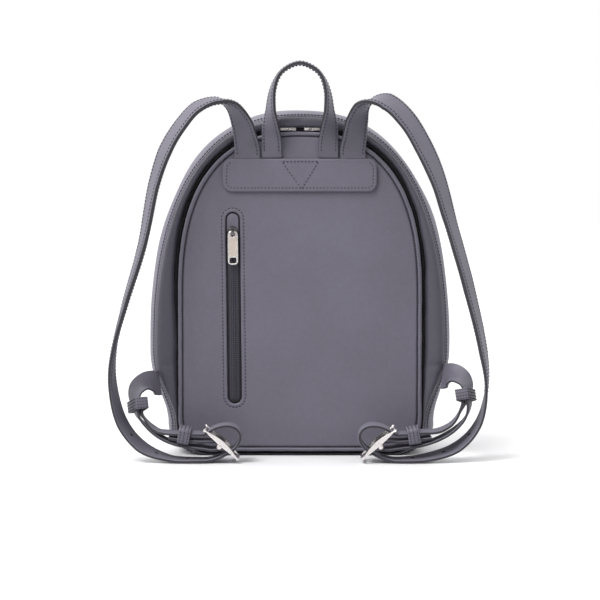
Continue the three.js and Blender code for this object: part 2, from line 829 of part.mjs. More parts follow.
function rod(from, to, radius, sides = 8) {
  const [a, b] = [new THREE.Vector3(from.x, from.y, from.z), new THREE.Vector3(to.x, to.y, to.z)];
  const geometry = new THREE.CylinderGeometry(radius, radius, a.distanceTo(b), sides);
  const turn = new THREE.Quaternion();
  turn.setFromUnitVectors(new THREE.Vector3(0, 1, 0), b.clone().sub(a).normalize());
  geometry.applyQuaternion(turn);
  const middle = a.add(b).multiplyScalar(0.5);
  geometry.translate(middle.x, middle.y, middle.z);
  return geometry;
}

function crossRod(point, halfLength, radius, sides) {
  const from = { ...point, y: point.y - halfLength };
  const to = { ...point, y: point.y + halfLength };
  return rod(from, to, radius, sides);
}

const WINDOW_ROOM = 0.7;
const SIDE_MIDDLE = STRAP_WIDTH / 2 + WINDOW_ROOM + BUCKLE_SIDE / 2;
const END_BAR_ALONG = BUCKLE_LENGTH / 2 - BAR_RADIUS;
const KNOB_OUT = 1;

// One side of the frame: straight underneath, arched on top and pointed at both ends.
function buckleSide(side, y) {
  const half = BUCKLE_LENGTH / 2;
  const shape = new THREE.Shape();
  shape.moveTo(-half, 0.4);
  shape.quadraticCurveTo(0, -1.6, half, 0.4);
  shape.quadraticCurveTo(half * 0.5, BUCKLE_ARCH * 0.75, 0, BUCKLE_ARCH * 0.75);
  shape.quadraticCurveTo(-half * 0.5, BUCKLE_ARCH * 0.75, -half, 0.4);
  const geometry = plate(shape, y - BUCKLE_SIDE / 2, y + BUCKLE_SIDE / 2);
  geometry.rotateY(-SLOPE);
  geometry.translate(BUCKLE_X, 0, BUCKLE_UP);
  return side.sign > 0 ? geometry : mirrored(geometry);
}

function mirrored(geometry) {
  geometry.scale(-1, 1, 1);
  const bare = geometry.index ? geometry.toNonIndexed() : geometry;
  const p = bare.getAttribute("position");
  const turned = new THREE.BufferGeometry();
  const values = [];
  for (let i = 0; i < p.count; i += 3) {
    for (const j of [i, i + 2, i + 1]) values.push(p.getX(j), p.getY(j), p.getZ(j));
  }
  turned.setAttribute("position", new THREE.Float32BufferAttribute(values, 3));
  return turned;
}

function buckleFrame(side) {
  const ends = [-END_BAR_ALONG, END_BAR_ALONG].map((along) => onBuckle(side, along, 0.4));
  let frame = toSolid(buckleSide(side, BUCKLE_Y - SIDE_MIDDLE));
  frame = frame.add(toSolid(buckleSide(side, BUCKLE_Y + SIDE_MIDDLE)));
  for (const end of ends) frame = frame.add(toSolid(crossRod(end, SIDE_MIDDLE, BAR_RADIUS)));
  const middleHalf = SIDE_MIDDLE + BUCKLE_SIDE / 2 + KNOB_OUT;
  frame = frame.add(toSolid(crossRod(onBuckle(side, 0, BAR_OFF), middleHalf, BAR_RADIUS)));
  for (const y of [-SIDE_MIDDLE, SIDE_MIDDLE]) {
    const cheek = crossRod(onBuckle(side, 0, BAR_OFF), BUCKLE_SIDE / 2, BAR_RADIUS + 0.8);
    cheek.translate(0, y, 0);
    frame = frame.add(toSolid(cheek));
  }
  add("buckle_frame_" + side.name, toGeometry(frame), METAL);
}

const PRONG_RADIUS = PRONG_DIAMETER / 2;
const RING_WIDE = 3.4;
const RING_RADIUS = BAR_RADIUS + CLEARANCE + 1.1;

// The prong hangs on the middle bar by a ring and rests on the outer end bar.
function prongSolid(side, grow) {
  const from = onBuckle(side, 1.2, BAR_OFF + BAR_RADIUS + CLEARANCE + PRONG_RADIUS - 0.4);
  const to = onBuckle(side, END_BAR_ALONG + 2, 0.4 + BAR_RADIUS + CLEARANCE + PRONG_RADIUS);
  const ring = crossRod(onBuckle(side, 0, BAR_OFF), RING_WIDE / 2 + grow, RING_RADIUS + grow, 12);
  return toSolid(ring).add(toSolid(rod(from, to, PRONG_RADIUS + grow)));
}

function buckleProng(side) {
  const bore = crossRod(onBuckle(side, 0, BAR_OFF), RING_WIDE, BAR_RADIUS + CLEARANCE, 12);
  const prong = prongSolid(side, 0).subtract(toSolid(bore));
  add("buckle_prong_" + side.name, toGeometry(prong), METAL);
}

// A leather loop round the belts: a rounded ring with room for what it holds.
function keeper(name, { centre, wide, thick }, spare, room) {
  const across = STRAP_WIDTH + 2 * spare;
  const hole = roundedBox(across, room, 1.2);
  const shape = roundedBox(across + 2 * KEEPER_WALL, room + 2 * KEEPER_WALL, 1.2 + KEEPER_WALL);
  shape.holes.push(new THREE.Path(hole.getPoints(2).reverse()));
  const options = { depth: KEEPER_LENGTH, bevelEnabled: false, curveSegments: 2 };
  const geometry = new THREE.ExtrudeGeometry(shape, options);
  geometry.translate(0, 0, -KEEPER_LENGTH / 2);
  const turn = new THREE.Matrix4().makeBasis(wide, thick, wide.clone().cross(thick));
  geometry.applyMatrix4(turn);
  geometry.translate(centre.x, centre.y, centre.z);
  add(name, geometry, LEATHER);
}

const LOWER_KEEPER_LEAN = 10;
const LOWER_KEEPER_UP = 0.179;
const KEEPER_SLACK = 1.6;
const UPPER_KEEPER_SLACK = 3.4;
const UPPER_KEEPER_SPARE = 1.3;

function keepers(side, tabRoute) {
  const upper = frameAt(tabRoute, UPPER_KEEPER_ROW);
  const inward = Math.sign(upper.thick.x) === side.sign ? -1 : 1;
  const shift = (BELT_THICK + BELT_GAP) / 2;
  upper.centre.addScaledVector(upper.thick, inward * shift);
  const stack = TAB_THICK + BELT_THICK;
  const upperRoom = stack + BELT_GAP + UPPER_KEEPER_SLACK;
  keeper("keeper_upper_" + side.name, upper, UPPER_KEEPER_SPARE, upperRoom);

  const point = besideBuckle(side, { across: side.keeperAcross, up: LOWER_KEEPER_UP });
  const lean = THREE.MathUtils.degToRad(LOWER_KEEPER_LEAN);
  const lower = {
    centre: new THREE.Vector3(point.x, point.y, point.z),
    wide: BACKWARD.clone(),
    thick: new THREE.Vector3(-side.sign * Math.sin(lean), 0, Math.cos(lean)),
  };
  keeper("keeper_lower_" + side.name, lower, WINDOW_ROOM, stack + KEEPER_ROOM + KEEPER_SLACK);
}

// The holes punched along the belt, counted back from the prong.
function beltHoles(route, prongPlace) {
  const samples = 400;
  const last = route.rows.length - 1;
  const from = Math.round((prongPlace / last) * samples);
  const drills = [];
  let run = 0;
  let previous = route.curve.getPoint(from / samples);
  for (let i = from - 1; i > 0 && drills.length < HOLE_COUNT; i--) {
    const p = route.curve.getPoint(i / samples);
    run += p.distanceTo(previous);
    previous = p;
    if (run < HOLE_PITCH) continue;
    run -= HOLE_PITCH;
    const { centre, thick } = frameAt(route, (i / samples) * last);
    const a = centre.clone().addScaledVector(thick, BELT_THICK);
    const b = centre.clone().addScaledVector(thick, -BELT_THICK);
    drills.push(rod(a, b, HOLE_DIAMETER / 2, 6));
  }
  return drills;
}

const PRONG_GROW = 0.45;

function strapsOf(side) {
  const tabRoute = routeThrough(tabRows(side));
  const prong = prongSolid(side, PRONG_GROW);
  const tab = toSolid(ribbon(tabRoute, STRAP_WIDTH)).subtract(prong);
  add("side_tab_" + side.name, toGeometry(tab), LEATHER);

  const strapRoute = routeThrough(strapRows(side, tabRoute));
  let strap = toSolid(ribbon(strapRoute, STRAP_WIDTH)).subtract(prong);
  const prongPlace = side.strap.length + LOOP_ROWS.length - 2.5;
  for (const drill of beltHoles(strapRoute, prongPlace)) strap = strap.subtract(toSolid(drill));
  add("shoulder_strap_" + side.name, toGeometry(strap), LEATHER);

  buckleFrame(side);
  buckleProng(side);
  keepers(side, tabRoute);
}

// THE ZIPS' HARDWARE

// A slider drawn about the puller's hinge, which lies under the middle of its bridge. Its
// travel is along Z and its face looks at -Y.
function slider({ width, length, thick, bridgeWidth, bridgeThick, room }) {
  const base = roundedBox(width, length, width * 0.3);
  const backY = room / 2 + thick;
  let body = toSolid(plate(base, room / 2, backY));
  const span = length * 0.4;
  const arch = new THREE.Shape();
  arch.moveTo(-span, -0.2);
  arch.lineTo(span, -0.2);
  arch.lineTo(span, room + bridgeThick * 0.4);
  arch.lineTo(span - bridgeThick * 0.6, room + bridgeThick);
  arch.lineTo(-span + bridgeThick * 0.6, room + bridgeThick);
  arch.lineTo(-span, room + bridgeThick * 0.4);
  const inner = new THREE.Path();
  inner.moveTo(-span + bridgeThick, 0);
  inner.lineTo(-span + bridgeThick, room);
  inner.lineTo(span - bridgeThick, room);
  inner.lineTo(span - bridgeThick, 0);
  arch.holes.push(inner);
  const options = { depth: bridgeWidth, bevelEnabled: false };
  const bridge = new THREE.ExtrudeGeometry(arch, options);
  bridge.translate(0, 0, -bridgeWidth / 2);
  const turn = new THREE.Matrix4().makeBasis(
    new THREE.Vector3(0, 0, 1),
    new THREE.Vector3(0, -1, 0),
    new THREE.Vector3(1, 0, 0),
  );
  bridge.applyMatrix4(turn);
  bridge.translate(0, room / 2, 0);
  body = body.add(toSolid(bridge));
  return toGeometry(body);
}

// A puller hanging from its hinge: a plate whose eye goes round the slider's bridge.
function puller({ width, length, thick, eyeWidth, eyeLength, window }) {
  const bar = thick / 2;
  const shape = roundedBox(width, length + bar, Math.min(width * 0.32, 2.6));
  const holes = [[eyeWidth, eyeLength, bar + eyeLength / 2]];
  if (window) holes.push([window, window * 0.85, length - window * 0.65]);
  for (const [w, h, down] of holes) {
    const hole = roundedBox(w, h, 0.6).getPoints(1).reverse();
    const middle = (length + bar) / 2 - bar - down;
    shape.holes.push(new THREE.Path(hole.map((p) => new THREE.Vector2(p.x, p.y + middle))));
  }
  const geometry = plate(shape, -thick / 2, thick / 2);
  geometry.translate(0, 0, -(length - bar) / 2);
  return geometry;
}

const POCKET_BRIDGE = { bridgeWidth: 2.6, bridgeThick: 1.2, room: 2.2 };
const MAIN_BRIDGE = { bridgeWidth: 1, bridgeThick: 0.9, room: 1.9 };

function pocketZip() {
  const tapeFront = BACK_Y + POCKET_RECESS;
  const [across, upright] = [POCKET_WIDTH, POCKET_LENGTH].map((size) => size - 2 * CLEARANCE);
  const slot = roundedBox(across, upright, POCKET_WIDTH);
  const tape = plate(slot, tapeFront, tapeFront + POCKET_TAPE_THICK);
  add("pocket_zip_tape", placedOnPocket(tape), DARK_CLOTH);

  const hingeDrop = SLIDER_DROP;
  const hingeUp = POCKET_LENGTH / 2 - hingeDrop;
  const coilTop = hingeUp - SLIDER_LENGTH / 2 - CLEARANCE;
  const coilFoot = -POCKET_LENGTH / 2 + POCKET_WIDTH / 3;
  const coilShape = roundedBox(POCKET_COIL_WIDTH, coilTop - coilFoot, 0.5);
  const coil = plate(coilShape, tapeFront - CLEARANCE - 1, tapeFront - CLEARANCE);
  coil.translate(0, 0, (coilTop + coilFoot) / 2);
  add("pocket_zip_coil", placedOnPocket(coil), DARK_CLOTH);

  const half = POCKET_WIDTH / 2 - CLEARANCE;
  const top = POCKET_LENGTH / 2 - CLEARANCE;
  const foot = POCKET_LENGTH / 2 - GARAGE_LENGTH;
  const tongue = new THREE.Shape();
  tongue.moveTo(half, foot);
  tongue.lineTo(half, top - half);
  tongue.absarc(0, top - half, half, 0, Math.PI, false);
  tongue.lineTo(-half, foot);
  tongue.absellipse(0, foot, half - 0.6, GARAGE_LENGTH * 0.25, Math.PI, 0, true);
  const tongueBack = tapeFront - CLEARANCE;
  const garage = plate(tongue, tongueBack - GARAGE_THICK, tongueBack);
  add("pocket_zip_garage", placedOnPocket(garage), LEATHER);

  const sizes = { width: SLIDER_WIDTH, length: SLIDER_LENGTH, thick: SLIDER_THICK };
  const hingeY = tapeFront - CLEARANCE - SLIDER_THICK - POCKET_BRIDGE.room / 2;
  const body = slider({ ...sizes, ...POCKET_BRIDGE });
  body.translate(0, hingeY, hingeUp);
  add("pocket_zip_slider", placedOnPocket(body), METAL);

  const plateSizes = { width: PULLER_WIDTH, length: PULLER_LENGTH, thick: PULLER_THICK };
  const eye = { eyeWidth: POCKET_BRIDGE.bridgeWidth + 1.2, eyeLength: SLIDER_LENGTH * 0.5 };
  const hanging = puller({ ...plateSizes, ...eye, window: PULLER_WINDOW });
  hanging.translate(0, hingeY, hingeUp);
  add("pocket_zip_puller", placedOnPocket(hanging), METAL);
}

function mainZipHardware(side) {
  const x = (side.sign * MAIN_SLIDER_APART) / 2;
  const z = PANEL.top + CHAIN_OFFSET - 0.1;
  const thick = 1.8;
  const hingeY = ON_TAPE_Y - thick - MAIN_BRIDGE.room / 2;
  const quarter = (-side.sign * Math.PI) / 2;
  const sizes = { width: MAIN_SLIDER_WIDTH, length: MAIN_SLIDER_LENGTH, thick };
  const body = slider({ ...sizes, ...MAIN_BRIDGE });
  body.rotateY(quarter);
  body.translate(x, hingeY, z);
  add("main_zip_slider_" + side.name, body, METAL);

  const eye = { eyeWidth: MAIN_BRIDGE.bridgeWidth + 0.5, eyeLength: MAIN_SLIDER_LENGTH * 0.5 };
  const plateSizes = { width: MAIN_PULLER_WIDTH, length: MAIN_PULLER_LENGTH, thick: 1.1 };
  const lying = puller({ ...plateSizes, ...eye });
  lying.rotateY(quarter);
  lying.translate(x, hingeY, z);
  add("main_zip_puller_" + side.name, lying, METAL);
}

frontShell();
gussetLip();
mainZipTape();
backPanel();
panelWelt();
yokePatch();
topHandle();
pocketZip();
for (const side of SIDES) {
  mainZipChain(side);
  mainZipHardware(side);
  strapsOf(side);
}

export default bag;
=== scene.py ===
"""The look of a small dome-shaped leather backpack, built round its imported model.

Shapes are worked out in millimetres and stored in metres. The bag stands on Z = 0, and its
back panel faces -Y, towards the camera.
"""

import math

import bmesh
import bpy
import numpy as np
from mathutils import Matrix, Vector, noise
from mathutils.geometry import tessellate_polygon


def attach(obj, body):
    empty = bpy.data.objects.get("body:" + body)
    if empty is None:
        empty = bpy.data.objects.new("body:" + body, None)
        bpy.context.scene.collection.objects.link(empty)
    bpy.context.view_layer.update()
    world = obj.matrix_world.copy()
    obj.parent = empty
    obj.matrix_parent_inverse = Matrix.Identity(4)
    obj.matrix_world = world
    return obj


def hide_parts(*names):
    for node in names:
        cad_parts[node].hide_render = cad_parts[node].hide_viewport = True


NOISE_SEED = 7

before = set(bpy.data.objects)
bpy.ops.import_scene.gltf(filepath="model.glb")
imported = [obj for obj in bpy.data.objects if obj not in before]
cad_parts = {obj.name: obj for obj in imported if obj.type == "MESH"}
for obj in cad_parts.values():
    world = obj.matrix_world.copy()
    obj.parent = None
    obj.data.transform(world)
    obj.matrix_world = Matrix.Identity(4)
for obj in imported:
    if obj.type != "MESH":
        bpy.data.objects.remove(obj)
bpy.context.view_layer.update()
noise.seed_set(NOISE_SEED)

MM = 0.001

# The body, its outlines and depths, as in the part's source.
HALF = 144.0
BACK_Y = -52.0
FRONT_Y = 52.0
SHELL_WALL = 2.5
CLEARANCE = 0.3
SEAM_Y = BACK_Y + 10
TAPE_BACK_Y = SEAM_Y - CLEARANCE
TAPE_FRONT_Y = TAPE_BACK_Y - 1.2
ON_TAPE_Y = TAPE_FRONT_Y - CLEARANCE
ON_PANEL_Y = BACK_Y - CLEARANCE
WELT_WIDTH = 4.0
ZIP_GAP = 4.4
LIP_OFFSET = CLEARANCE + WELT_WIDTH + ZIP_GAP
LIP_RISE = 4.5
ZIP_END_UP = 86.0
CHAIN_OFFSET = CLEARANCE + WELT_WIDTH + ZIP_GAP / 2

PANEL = dict(half=111, top=302.6, foot=8.5, widest=150, footHalf=111, corner=28, squareness=2.5)
LIP_EDGE = dict(
    half=111 + LIP_OFFSET, top=302.6 + LIP_OFFSET, foot=0.6 + 7.9 * 0.18, widest=150,
    footHalf=111 + WELT_WIDTH + 2 * CLEARANCE, corner=30, squareness=2.5,
)
FULL = dict(half=144, top=327, foot=0, widest=98, footHalf=128, corner=28, squareness=2.4)
SEAM = dict(half=136.5, top=320.5, foot=0.6, widest=98, footHalf=118, corner=28, squareness=2.4)
FRONT = dict(
    half=144 * 0.74, top=327 * 0.78, foot=327 * 0.075, widest=98 * 1.1, footHalf=128 * 0.72,
    corner=25.2, squareness=2.4,
)

# The patch, the handle and the straps.
PATCH_TOP = 281.5
PATCH_SIZE = (144.6, 31.0)
PATCH_THICK = 2.6
PATCH_CORNER = 8.5
HANDLE_WIDTH = 19.0
HANDLE_THICK = 3.8
HANDLE_SPACING = 53.0
HANDLE_RISE = 88.5
STRAP_WIDTH = 24.0
STRAP_THICK = 4.5
STRAP_SPACING = 99.4
STRAP_REACH = 31.0
STRAP_STANDOFF = 30.0
BELT_THICK = 3.0
TAB_THICK = 2.6
HOLE_RADIUS = 1.8
HOLE_PITCH = 30.0
HOLE_COUNT = 5
STITCH_INSET = 2.7

# The buckles and the loops.
BUCKLE_LENGTH = 43.0
BUCKLE_X = 73.2
BUCKLE_UP = 17.5
BUCKLE_OUT = 40.0
BUCKLE_Y = BACK_Y - BUCKLE_OUT
SLOPE = math.radians(41.3)
BAR_RADIUS = 1.5
BAR_OFF = -2.2
BUCKLE_SIDE = 2.6
BUCKLE_ARCH = 4.2
WINDOW_ROOM = 0.7
SIDE_MIDDLE = STRAP_WIDTH / 2 + WINDOW_ROOM + BUCKLE_SIDE / 2
END_BAR_ALONG = BUCKLE_LENGTH / 2 - BAR_RADIUS
PRONG_RADIUS = 1.2
KEEPER_LENGTH = 11.0
KEEPER_WALL = 1.5

# The pocket in the panel and the zips' hardware.
POCKET_LENGTH = 181.5
POCKET_WIDTH = 13.4
POCKET_X = -62.6
POCKET_UP = 140.5
POCKET_LEAN = math.radians(-0.6)
POCKET_TAPE_Y = BACK_Y + 1.8
HINGE_UP = POCKET_LENGTH / 2 - 18.4
GARAGE_LENGTH = 18.2


# Meshes

def into_scene(name, data):
    piece = bpy.data.objects.new(name, data)
    bpy.context.scene.collection.objects.link(piece)
    return piece


def put(name, points, faces, looks, marks=None, sharp=None):
    """A mesh object from points in millimetres. Marks give each face the number of its look."""
    mesh = bpy.data.meshes.new(name)
    mesh.from_pydata((np.asarray(points, float) * MM).tolist(), [], faces)
    for look in looks:
        mesh.materials.append(look)
    if marks is not None:
        mesh.polygons.foreach_set("material_index", np.asarray(marks, np.int32))
    work = bmesh.new()
    work.from_mesh(mesh)
    bmesh.ops.recalc_face_normals(work, faces=work.faces)
    work.to_mesh(mesh)
    work.free()
    mesh.polygons.foreach_set("use_smooth", [True] * len(mesh.polygons))
    if sharp:
        mesh.set_sharp_from_angle(angle=math.radians(sharp))
    mesh.update()
    return into_scene(name, mesh)


def joined(parts):
    """Several (points, faces) as one."""
    points, faces, first = [], [], 0
    for some, of_them in parts:
        points.append(np.asarray(some, float))
        faces.extend([tuple(i + first for i in face) for face in of_them])
        first += len(some)
    return np.concatenate(points), faces


def ring_faces(rows, count, all_round=False, caps=True):
    """Quads between rows of points, each row closed on itself."""
    faces = []
    for r in range(rows if all_round else rows - 1):
        s = (r + 1) % rows
        for i in range(count):
            j = (i + 1) % count
            faces.append((r * count + i, r * count + j, s * count + j, s * count + i))
    if caps and not all_round:
        faces.append(tuple(range(count)))
        faces.append(tuple(range((rows - 1) * count, rows * count)))
    return faces


def smooth_rows(rows, steps, closed=False):
    """Rows of numbers with rows between them on a smooth curve."""
    rows = np.asarray(rows, float)
    count = len(rows)
    made = []
    for i in range(count if closed else count - 1):
        near = range(i - 1, i + 3)
        a, b, c, d = (rows[k % count if closed else min(max(k, 0), count - 1)] for k in near)
        for k in range(steps):
            t = k / steps
            made.append(0.5 * (2 * b + (c - a) * t + (2 * a - 5 * b + 4 * c - d) * t**2
                               + (3 * b - a - 3 * c + d) * t**3))
    if not closed:
        made.append(rows[-1])
    return np.array(made)


def unit(v):
    return v / np.linalg.norm(v, axis=-1, keepdims=True)


def run_along(points):
    """The distance from a line's start to each of its points."""
    return np.concatenate([[0], np.cumsum(np.linalg.norm(np.diff(points, axis=0), axis=1))])


def at_distances(distances, run, points):
    return np.stack([np.interp(distances, run, column) for column in points.T], axis=1)


def evenly(points, count):
    """A closed line of 2-D points with count points at even spacing."""
    loop = np.vstack([points, points[:1]])
    run = run_along(loop)
    return at_distances(np.linspace(0, run[-1], count, endpoint=False), run, loop)


def along_line(points, count):
    """An open line of points, resampled to count points at even spacing, ends kept."""
    run = run_along(points)
    return at_distances(np.linspace(0, run[-1], count), run, points)


def drawn_outline(sizes, inset=0.0):
    """The closed outline of an upright section, from the middle of its foot to the right."""
    half, top = sizes["half"] - inset, sizes["top"] - inset
    foot, foot_half = sizes["foot"] + inset, sizes["footHalf"] - inset
    corner = max(sizes["corner"] - inset / 2, 1)
    widest, power = sizes["widest"], 2 / sizes["squareness"]
    base = [[x, foot] for x in np.linspace(0, foot_half - corner, 20, endpoint=False)]
    turn = np.linspace(0, math.pi / 2, 24, endpoint=False)
    arc = np.stack([foot_half - corner + corner * np.sin(turn),
                    foot + corner - corner * np.cos(turn)], axis=1)
    start = foot + corner
    ends = np.array([[foot_half, start], [foot_half, start + (widest - start) * 0.3],
                     [half, start + (widest - start) * 0.6], [half, widest]])
    t = np.linspace(0, 1, 30, endpoint=False)[:, None]
    side = ((1 - t) ** 3 * ends[0] + 3 * (1 - t) ** 2 * t * ends[1]
            + 3 * (1 - t) * t**2 * ends[2] + t**3 * ends[3])
    turn = np.linspace(0, math.pi / 2, 120)
    dome = np.stack([half * np.clip(np.cos(turn), 0, 1) ** power,
                     widest + (top - widest) * np.sin(turn) ** power], axis=1)
    dome[-1, 0] = 0
    right = np.vstack([base, arc, side, dome])
    return np.vstack([right, right[1:-1][::-1] * [-1, 1]])


def outline(sizes, inset=0.0, count=288):
    return evenly(drawn_outline(sizes, inset), count)


def mixed(a, b, share):
    return {name: a[name] + (b[name] - a[name]) * share for name in a}


def at_depth(ring, y):
    """A ring drawn in X and Z, stood at a depth or at a depth for each point."""
    return np.stack([ring[:, 0], np.full(len(ring), y), ring[:, 1]], axis=1)


def rounded_box(width, height, corner, per_corner=6):
    """A rectangle with round corners, from the middle of its foot to the right."""
    w, h = width / 2, height / 2
    r = min(corner, w * 0.999, h * 0.999)
    points = [[0, -h]]
    for right, up, first in ((1, -1, -90), (1, 1, 0), (-1, 1, 90), (-1, -1, 180)):
        cx, cz = right * (w - r), up * (h - r)
        for k in range(per_corner + 1):
            angle = math.radians(first + 90 * k / per_corner)
            points.append([cx + r * math.cos(angle), cz + r * math.sin(angle)])
    return np.array(points)


def shifted(ring, distance):
    """A closed line moved inward by a distance, outward if it is negative."""
    following, before = np.roll(ring, -1, axis=0), np.roll(ring, 1, axis=0)
    area = np.sum(ring[:, 0] * following[:, 1] - following[:, 0] * ring[:, 1])
    def left(edge):
        size = np.maximum(np.linalg.norm(edge, axis=1, keepdims=True), 1e-9)
        return np.stack([-edge[:, 1], edge[:, 0]], axis=1) / size
    a, b = left(ring - before), left(following - ring)
    middle = a + b
    middle /= np.maximum(np.linalg.norm(middle, axis=1, keepdims=True), 1e-9)
    reach = 1 / np.maximum(np.sum(middle * b, axis=1, keepdims=True), 0.5)
    return ring + middle * reach * distance * (1 if area > 0 else -1)


def plate(drawing, holes, depth, bevel):
    """A plate with bevelled edges, its drawing in X and Y and its middle at Z = 0."""
    half, soft = depth / 2, bevel * 0.3
    levels = [(-half, bevel), (-half + soft, soft), (-half + bevel, 0),
              (half - bevel, 0), (half - soft, soft), (half, bevel)]
    points, faces, ends = [], [], [[], []]
    for number, rim in enumerate([drawing, *holes]):
        count, first = len(rim), sum(len(p) for p in points)
        for z, inset in levels:
            ring = shifted(rim, inset if number == 0 else -inset)
            points.append(np.column_stack([ring, np.full(count, z)]))
        faces += [tuple(i + first for i in f) for f in ring_faces(len(levels), count, caps=False)]
        ends[0].append((first, points[-len(levels)]))
        ends[1].append((first + count * (len(levels) - 1), points[-1]))
    for end in ends:
        numbers = [first + i for first, ring in end for i in range(len(ring))]
        for tri in tessellate_polygon([[Vector(p) for p in ring] for _, ring in end]):
            faces.append(tuple(numbers[i] for i in tri))
    return np.concatenate(points), faces


def placed(part, x_to, y_to, z_to, origin=(0, 0, 0)):
    """A part with its X, Y and Z turned to three directions and its origin moved."""
    points, faces = part
    basis = np.array([x_to, y_to, z_to], float)
    return np.asarray(points) @ basis + np.asarray(origin, float), faces


def turn_angles(count):
    return np.linspace(0, 2 * math.pi, count, endpoint=False)


def turned(axis_from, axis_to, stations, sides=20):
    """A turned shape round a line. Stations are (share of the way, radius)."""
    a, b = np.asarray(axis_from, float), np.asarray(axis_to, float)
    along = unit(b - a)
    side = unit(np.cross(along, [0.31, 0.2, 0.93]))
    up = np.cross(along, side)
    angles = turn_angles(sides)
    circle = np.outer(np.cos(angles), side) + np.outer(np.sin(angles), up)
    rings = [a + (b - a) * share + circle * radius for share, radius in stations]
    return np.concatenate(rings), ring_faces(len(stations), sides)


def rod(a, b, radius, edge=0.35, sides=20):
    length = float(np.linalg.norm(np.asarray(b, float) - np.asarray(a, float)))
    e = edge / length
    stations = [(0, radius - edge), (e * 0.3, radius - edge * 0.3), (e, radius),
                (1 - e, radius), (1 - e * 0.3, radius - edge * 0.3), (1, radius - edge)]
    return turned(a, b, stations, sides)


def wobble(points, size, amount, seed=0.0):
    """A soft random shift for each point. Size is how far apart its bumps are."""
    return np.array([noise.noise_vector(Vector(p) / size + Vector((seed, seed * 0.7, 0)))
                     for p in points]) * amount


def bumps(points, size, seed=0.0):
    return np.array([noise.noise(Vector(p) / size + Vector((seed, 0, seed))) for p in points])


def eased(value, low, high):
    t = np.clip((np.asarray(value, float) - low) / (high - low), 0, 1)
    return t * t * (3 - 2 * t)


# Stitches

BACKWARD = [0, -1, 0]
STITCH_LONG = 2.3
SHORT_STITCH = 1.9
STITCH_PITCH = 3.2
STITCH_RADIUS = 0.5
STITCH_SUNK = 0.05
SEAM_COUNT = 900
STITCH_SIDES = 6
# Along a stitch: share of its length, how wide it is, and how far its middle stands out.
STITCH_STATIONS = [(0.0, 0.35, -0.5), (0.1, 0.8, -0.05), (0.35, 1.0, 0.3),
                   (0.65, 1.0, 0.3), (0.9, 0.8, -0.05), (1.0, 0.35, -0.5)]


def stitch_parts(starts, ends, normals):
    """A short thread for each pair of points, sunk at its ends and proud in its middle."""
    along = ends - starts
    side = unit(np.cross(unit(along), normals))
    angles = turn_angles(STITCH_SIDES)
    points = np.zeros((len(starts), len(STITCH_STATIONS), STITCH_SIDES, 3))
    for k, (share, wide, rise) in enumerate(STITCH_STATIONS):
        centre = starts + along * share + normals * STITCH_RADIUS * rise
        for m, angle in enumerate(angles):
            points[:, k, m] = centre + STITCH_RADIUS * wide * (
                side * math.cos(angle) + normals * math.sin(angle) * 0.8)
    one = ring_faces(len(STITCH_STATIONS), STITCH_SIDES)
    count = len(STITCH_STATIONS) * STITCH_SIDES
    faces = [tuple(i + n * count for i in face) for n in range(len(starts)) for face in one]
    return points.reshape(-1, 3), faces


def stitched_line(line, normal, pitch=STITCH_PITCH, long=STITCH_LONG, closed=False):
    """Stitches along a line of 3-D points on a surface with one normal, or one for each point."""
    line = np.asarray(line, float)
    normal = np.broadcast_to(np.asarray(normal, float), line.shape)
    if closed:
        line, normal = np.vstack([line, line[:1]]), np.vstack([normal, normal[:1]])
    run = run_along(line)
    count = max(int(run[-1] / pitch), 1)
    begin = (np.arange(count) + 0.5) * run[-1] / count - long / 2
    normals = unit(at_distances(begin + long / 2, run, normal))
    return stitch_parts(at_distances(begin, run, line), at_distances(begin + long, run, line), normals)


# Materials

TINT_STOPS = (0.3, 0.7)


def new_look(name, colour, rough, metallic=0.0, sheen=0.0):
    look = bpy.data.materials.new(name)
    look.use_nodes = True
    shader = look.node_tree.nodes["Principled BSDF"]
    shader.inputs["Base Color"].default_value = (*colour, 1)
    shader.inputs["Roughness"].default_value = rough
    shader.inputs["Metallic"].default_value = metallic
    shader.inputs["Sheen Weight"].default_value = sheen
    return look, look.node_tree, shader


def add_node(tree, kind, feeds, **settings):
    """A node with its settings. Feeds give the output that goes into a socket."""
    node = tree.nodes.new(kind)
    for name, value in settings.items():
        if name in node.inputs:
            node.inputs[name].default_value = value
        else:
            setattr(node, name, value)
    for socket, output in feeds.items():
        tree.links.new(output, node.inputs[socket])
    return node


def texture(tree, kind, **settings):
    """The grey output of a texture laid in its object's own coordinates."""
    place = tree.nodes.new("ShaderNodeTexCoord")
    outputs = add_node(tree, kind, {"Vector": place.outputs["Object"]}, **settings).outputs
    return outputs["Fac"] if "Fac" in outputs else outputs["Distance"]


def scaled_sum(tree, source, share, rest=None):
    """A source times a share, plus another source if there is one."""
    feeds = {0: source} if rest is None else {0: source, 2: rest}
    total = add_node(tree, "ShaderNodeMath", feeds, operation="MULTIPLY_ADD")
    total.inputs[1].default_value = share
    total.inputs[2].default_value = 0.0
    return total.outputs[0]


def tinted(tree, source, colour, low, high):
    """A colour that goes between two brightnesses as the source goes between the tint stops."""
    ramp = add_node(tree, "ShaderNodeValToRGB", {"Fac": source})
    for stop, position, level in zip(ramp.color_ramp.elements, TINT_STOPS, (low, high)):
        stop.position = position
        stop.color = (*[c * level for c in colour], 1)
    return ramp.outputs["Color"]


def coloured(tree, shader, colour):
    tree.links.new(colour, shader.inputs["Base Color"])


def bumped(tree, shader, height, strength, distance):
    bump = add_node(tree, "ShaderNodeBump", {"Height": height}, Strength=strength, Distance=distance)
    tree.links.new(bump.outputs["Normal"], shader.inputs["Normal"])


def dulled(tree, shader, source, low, high):
    """Roughness that goes from low to high with the source."""
    spread = add_node(tree, "ShaderNodeMapRange", {"Value": source}, **{"To Min": low, "To Max": high})
    tree.links.new(spread.outputs["Result"], shader.inputs["Roughness"])


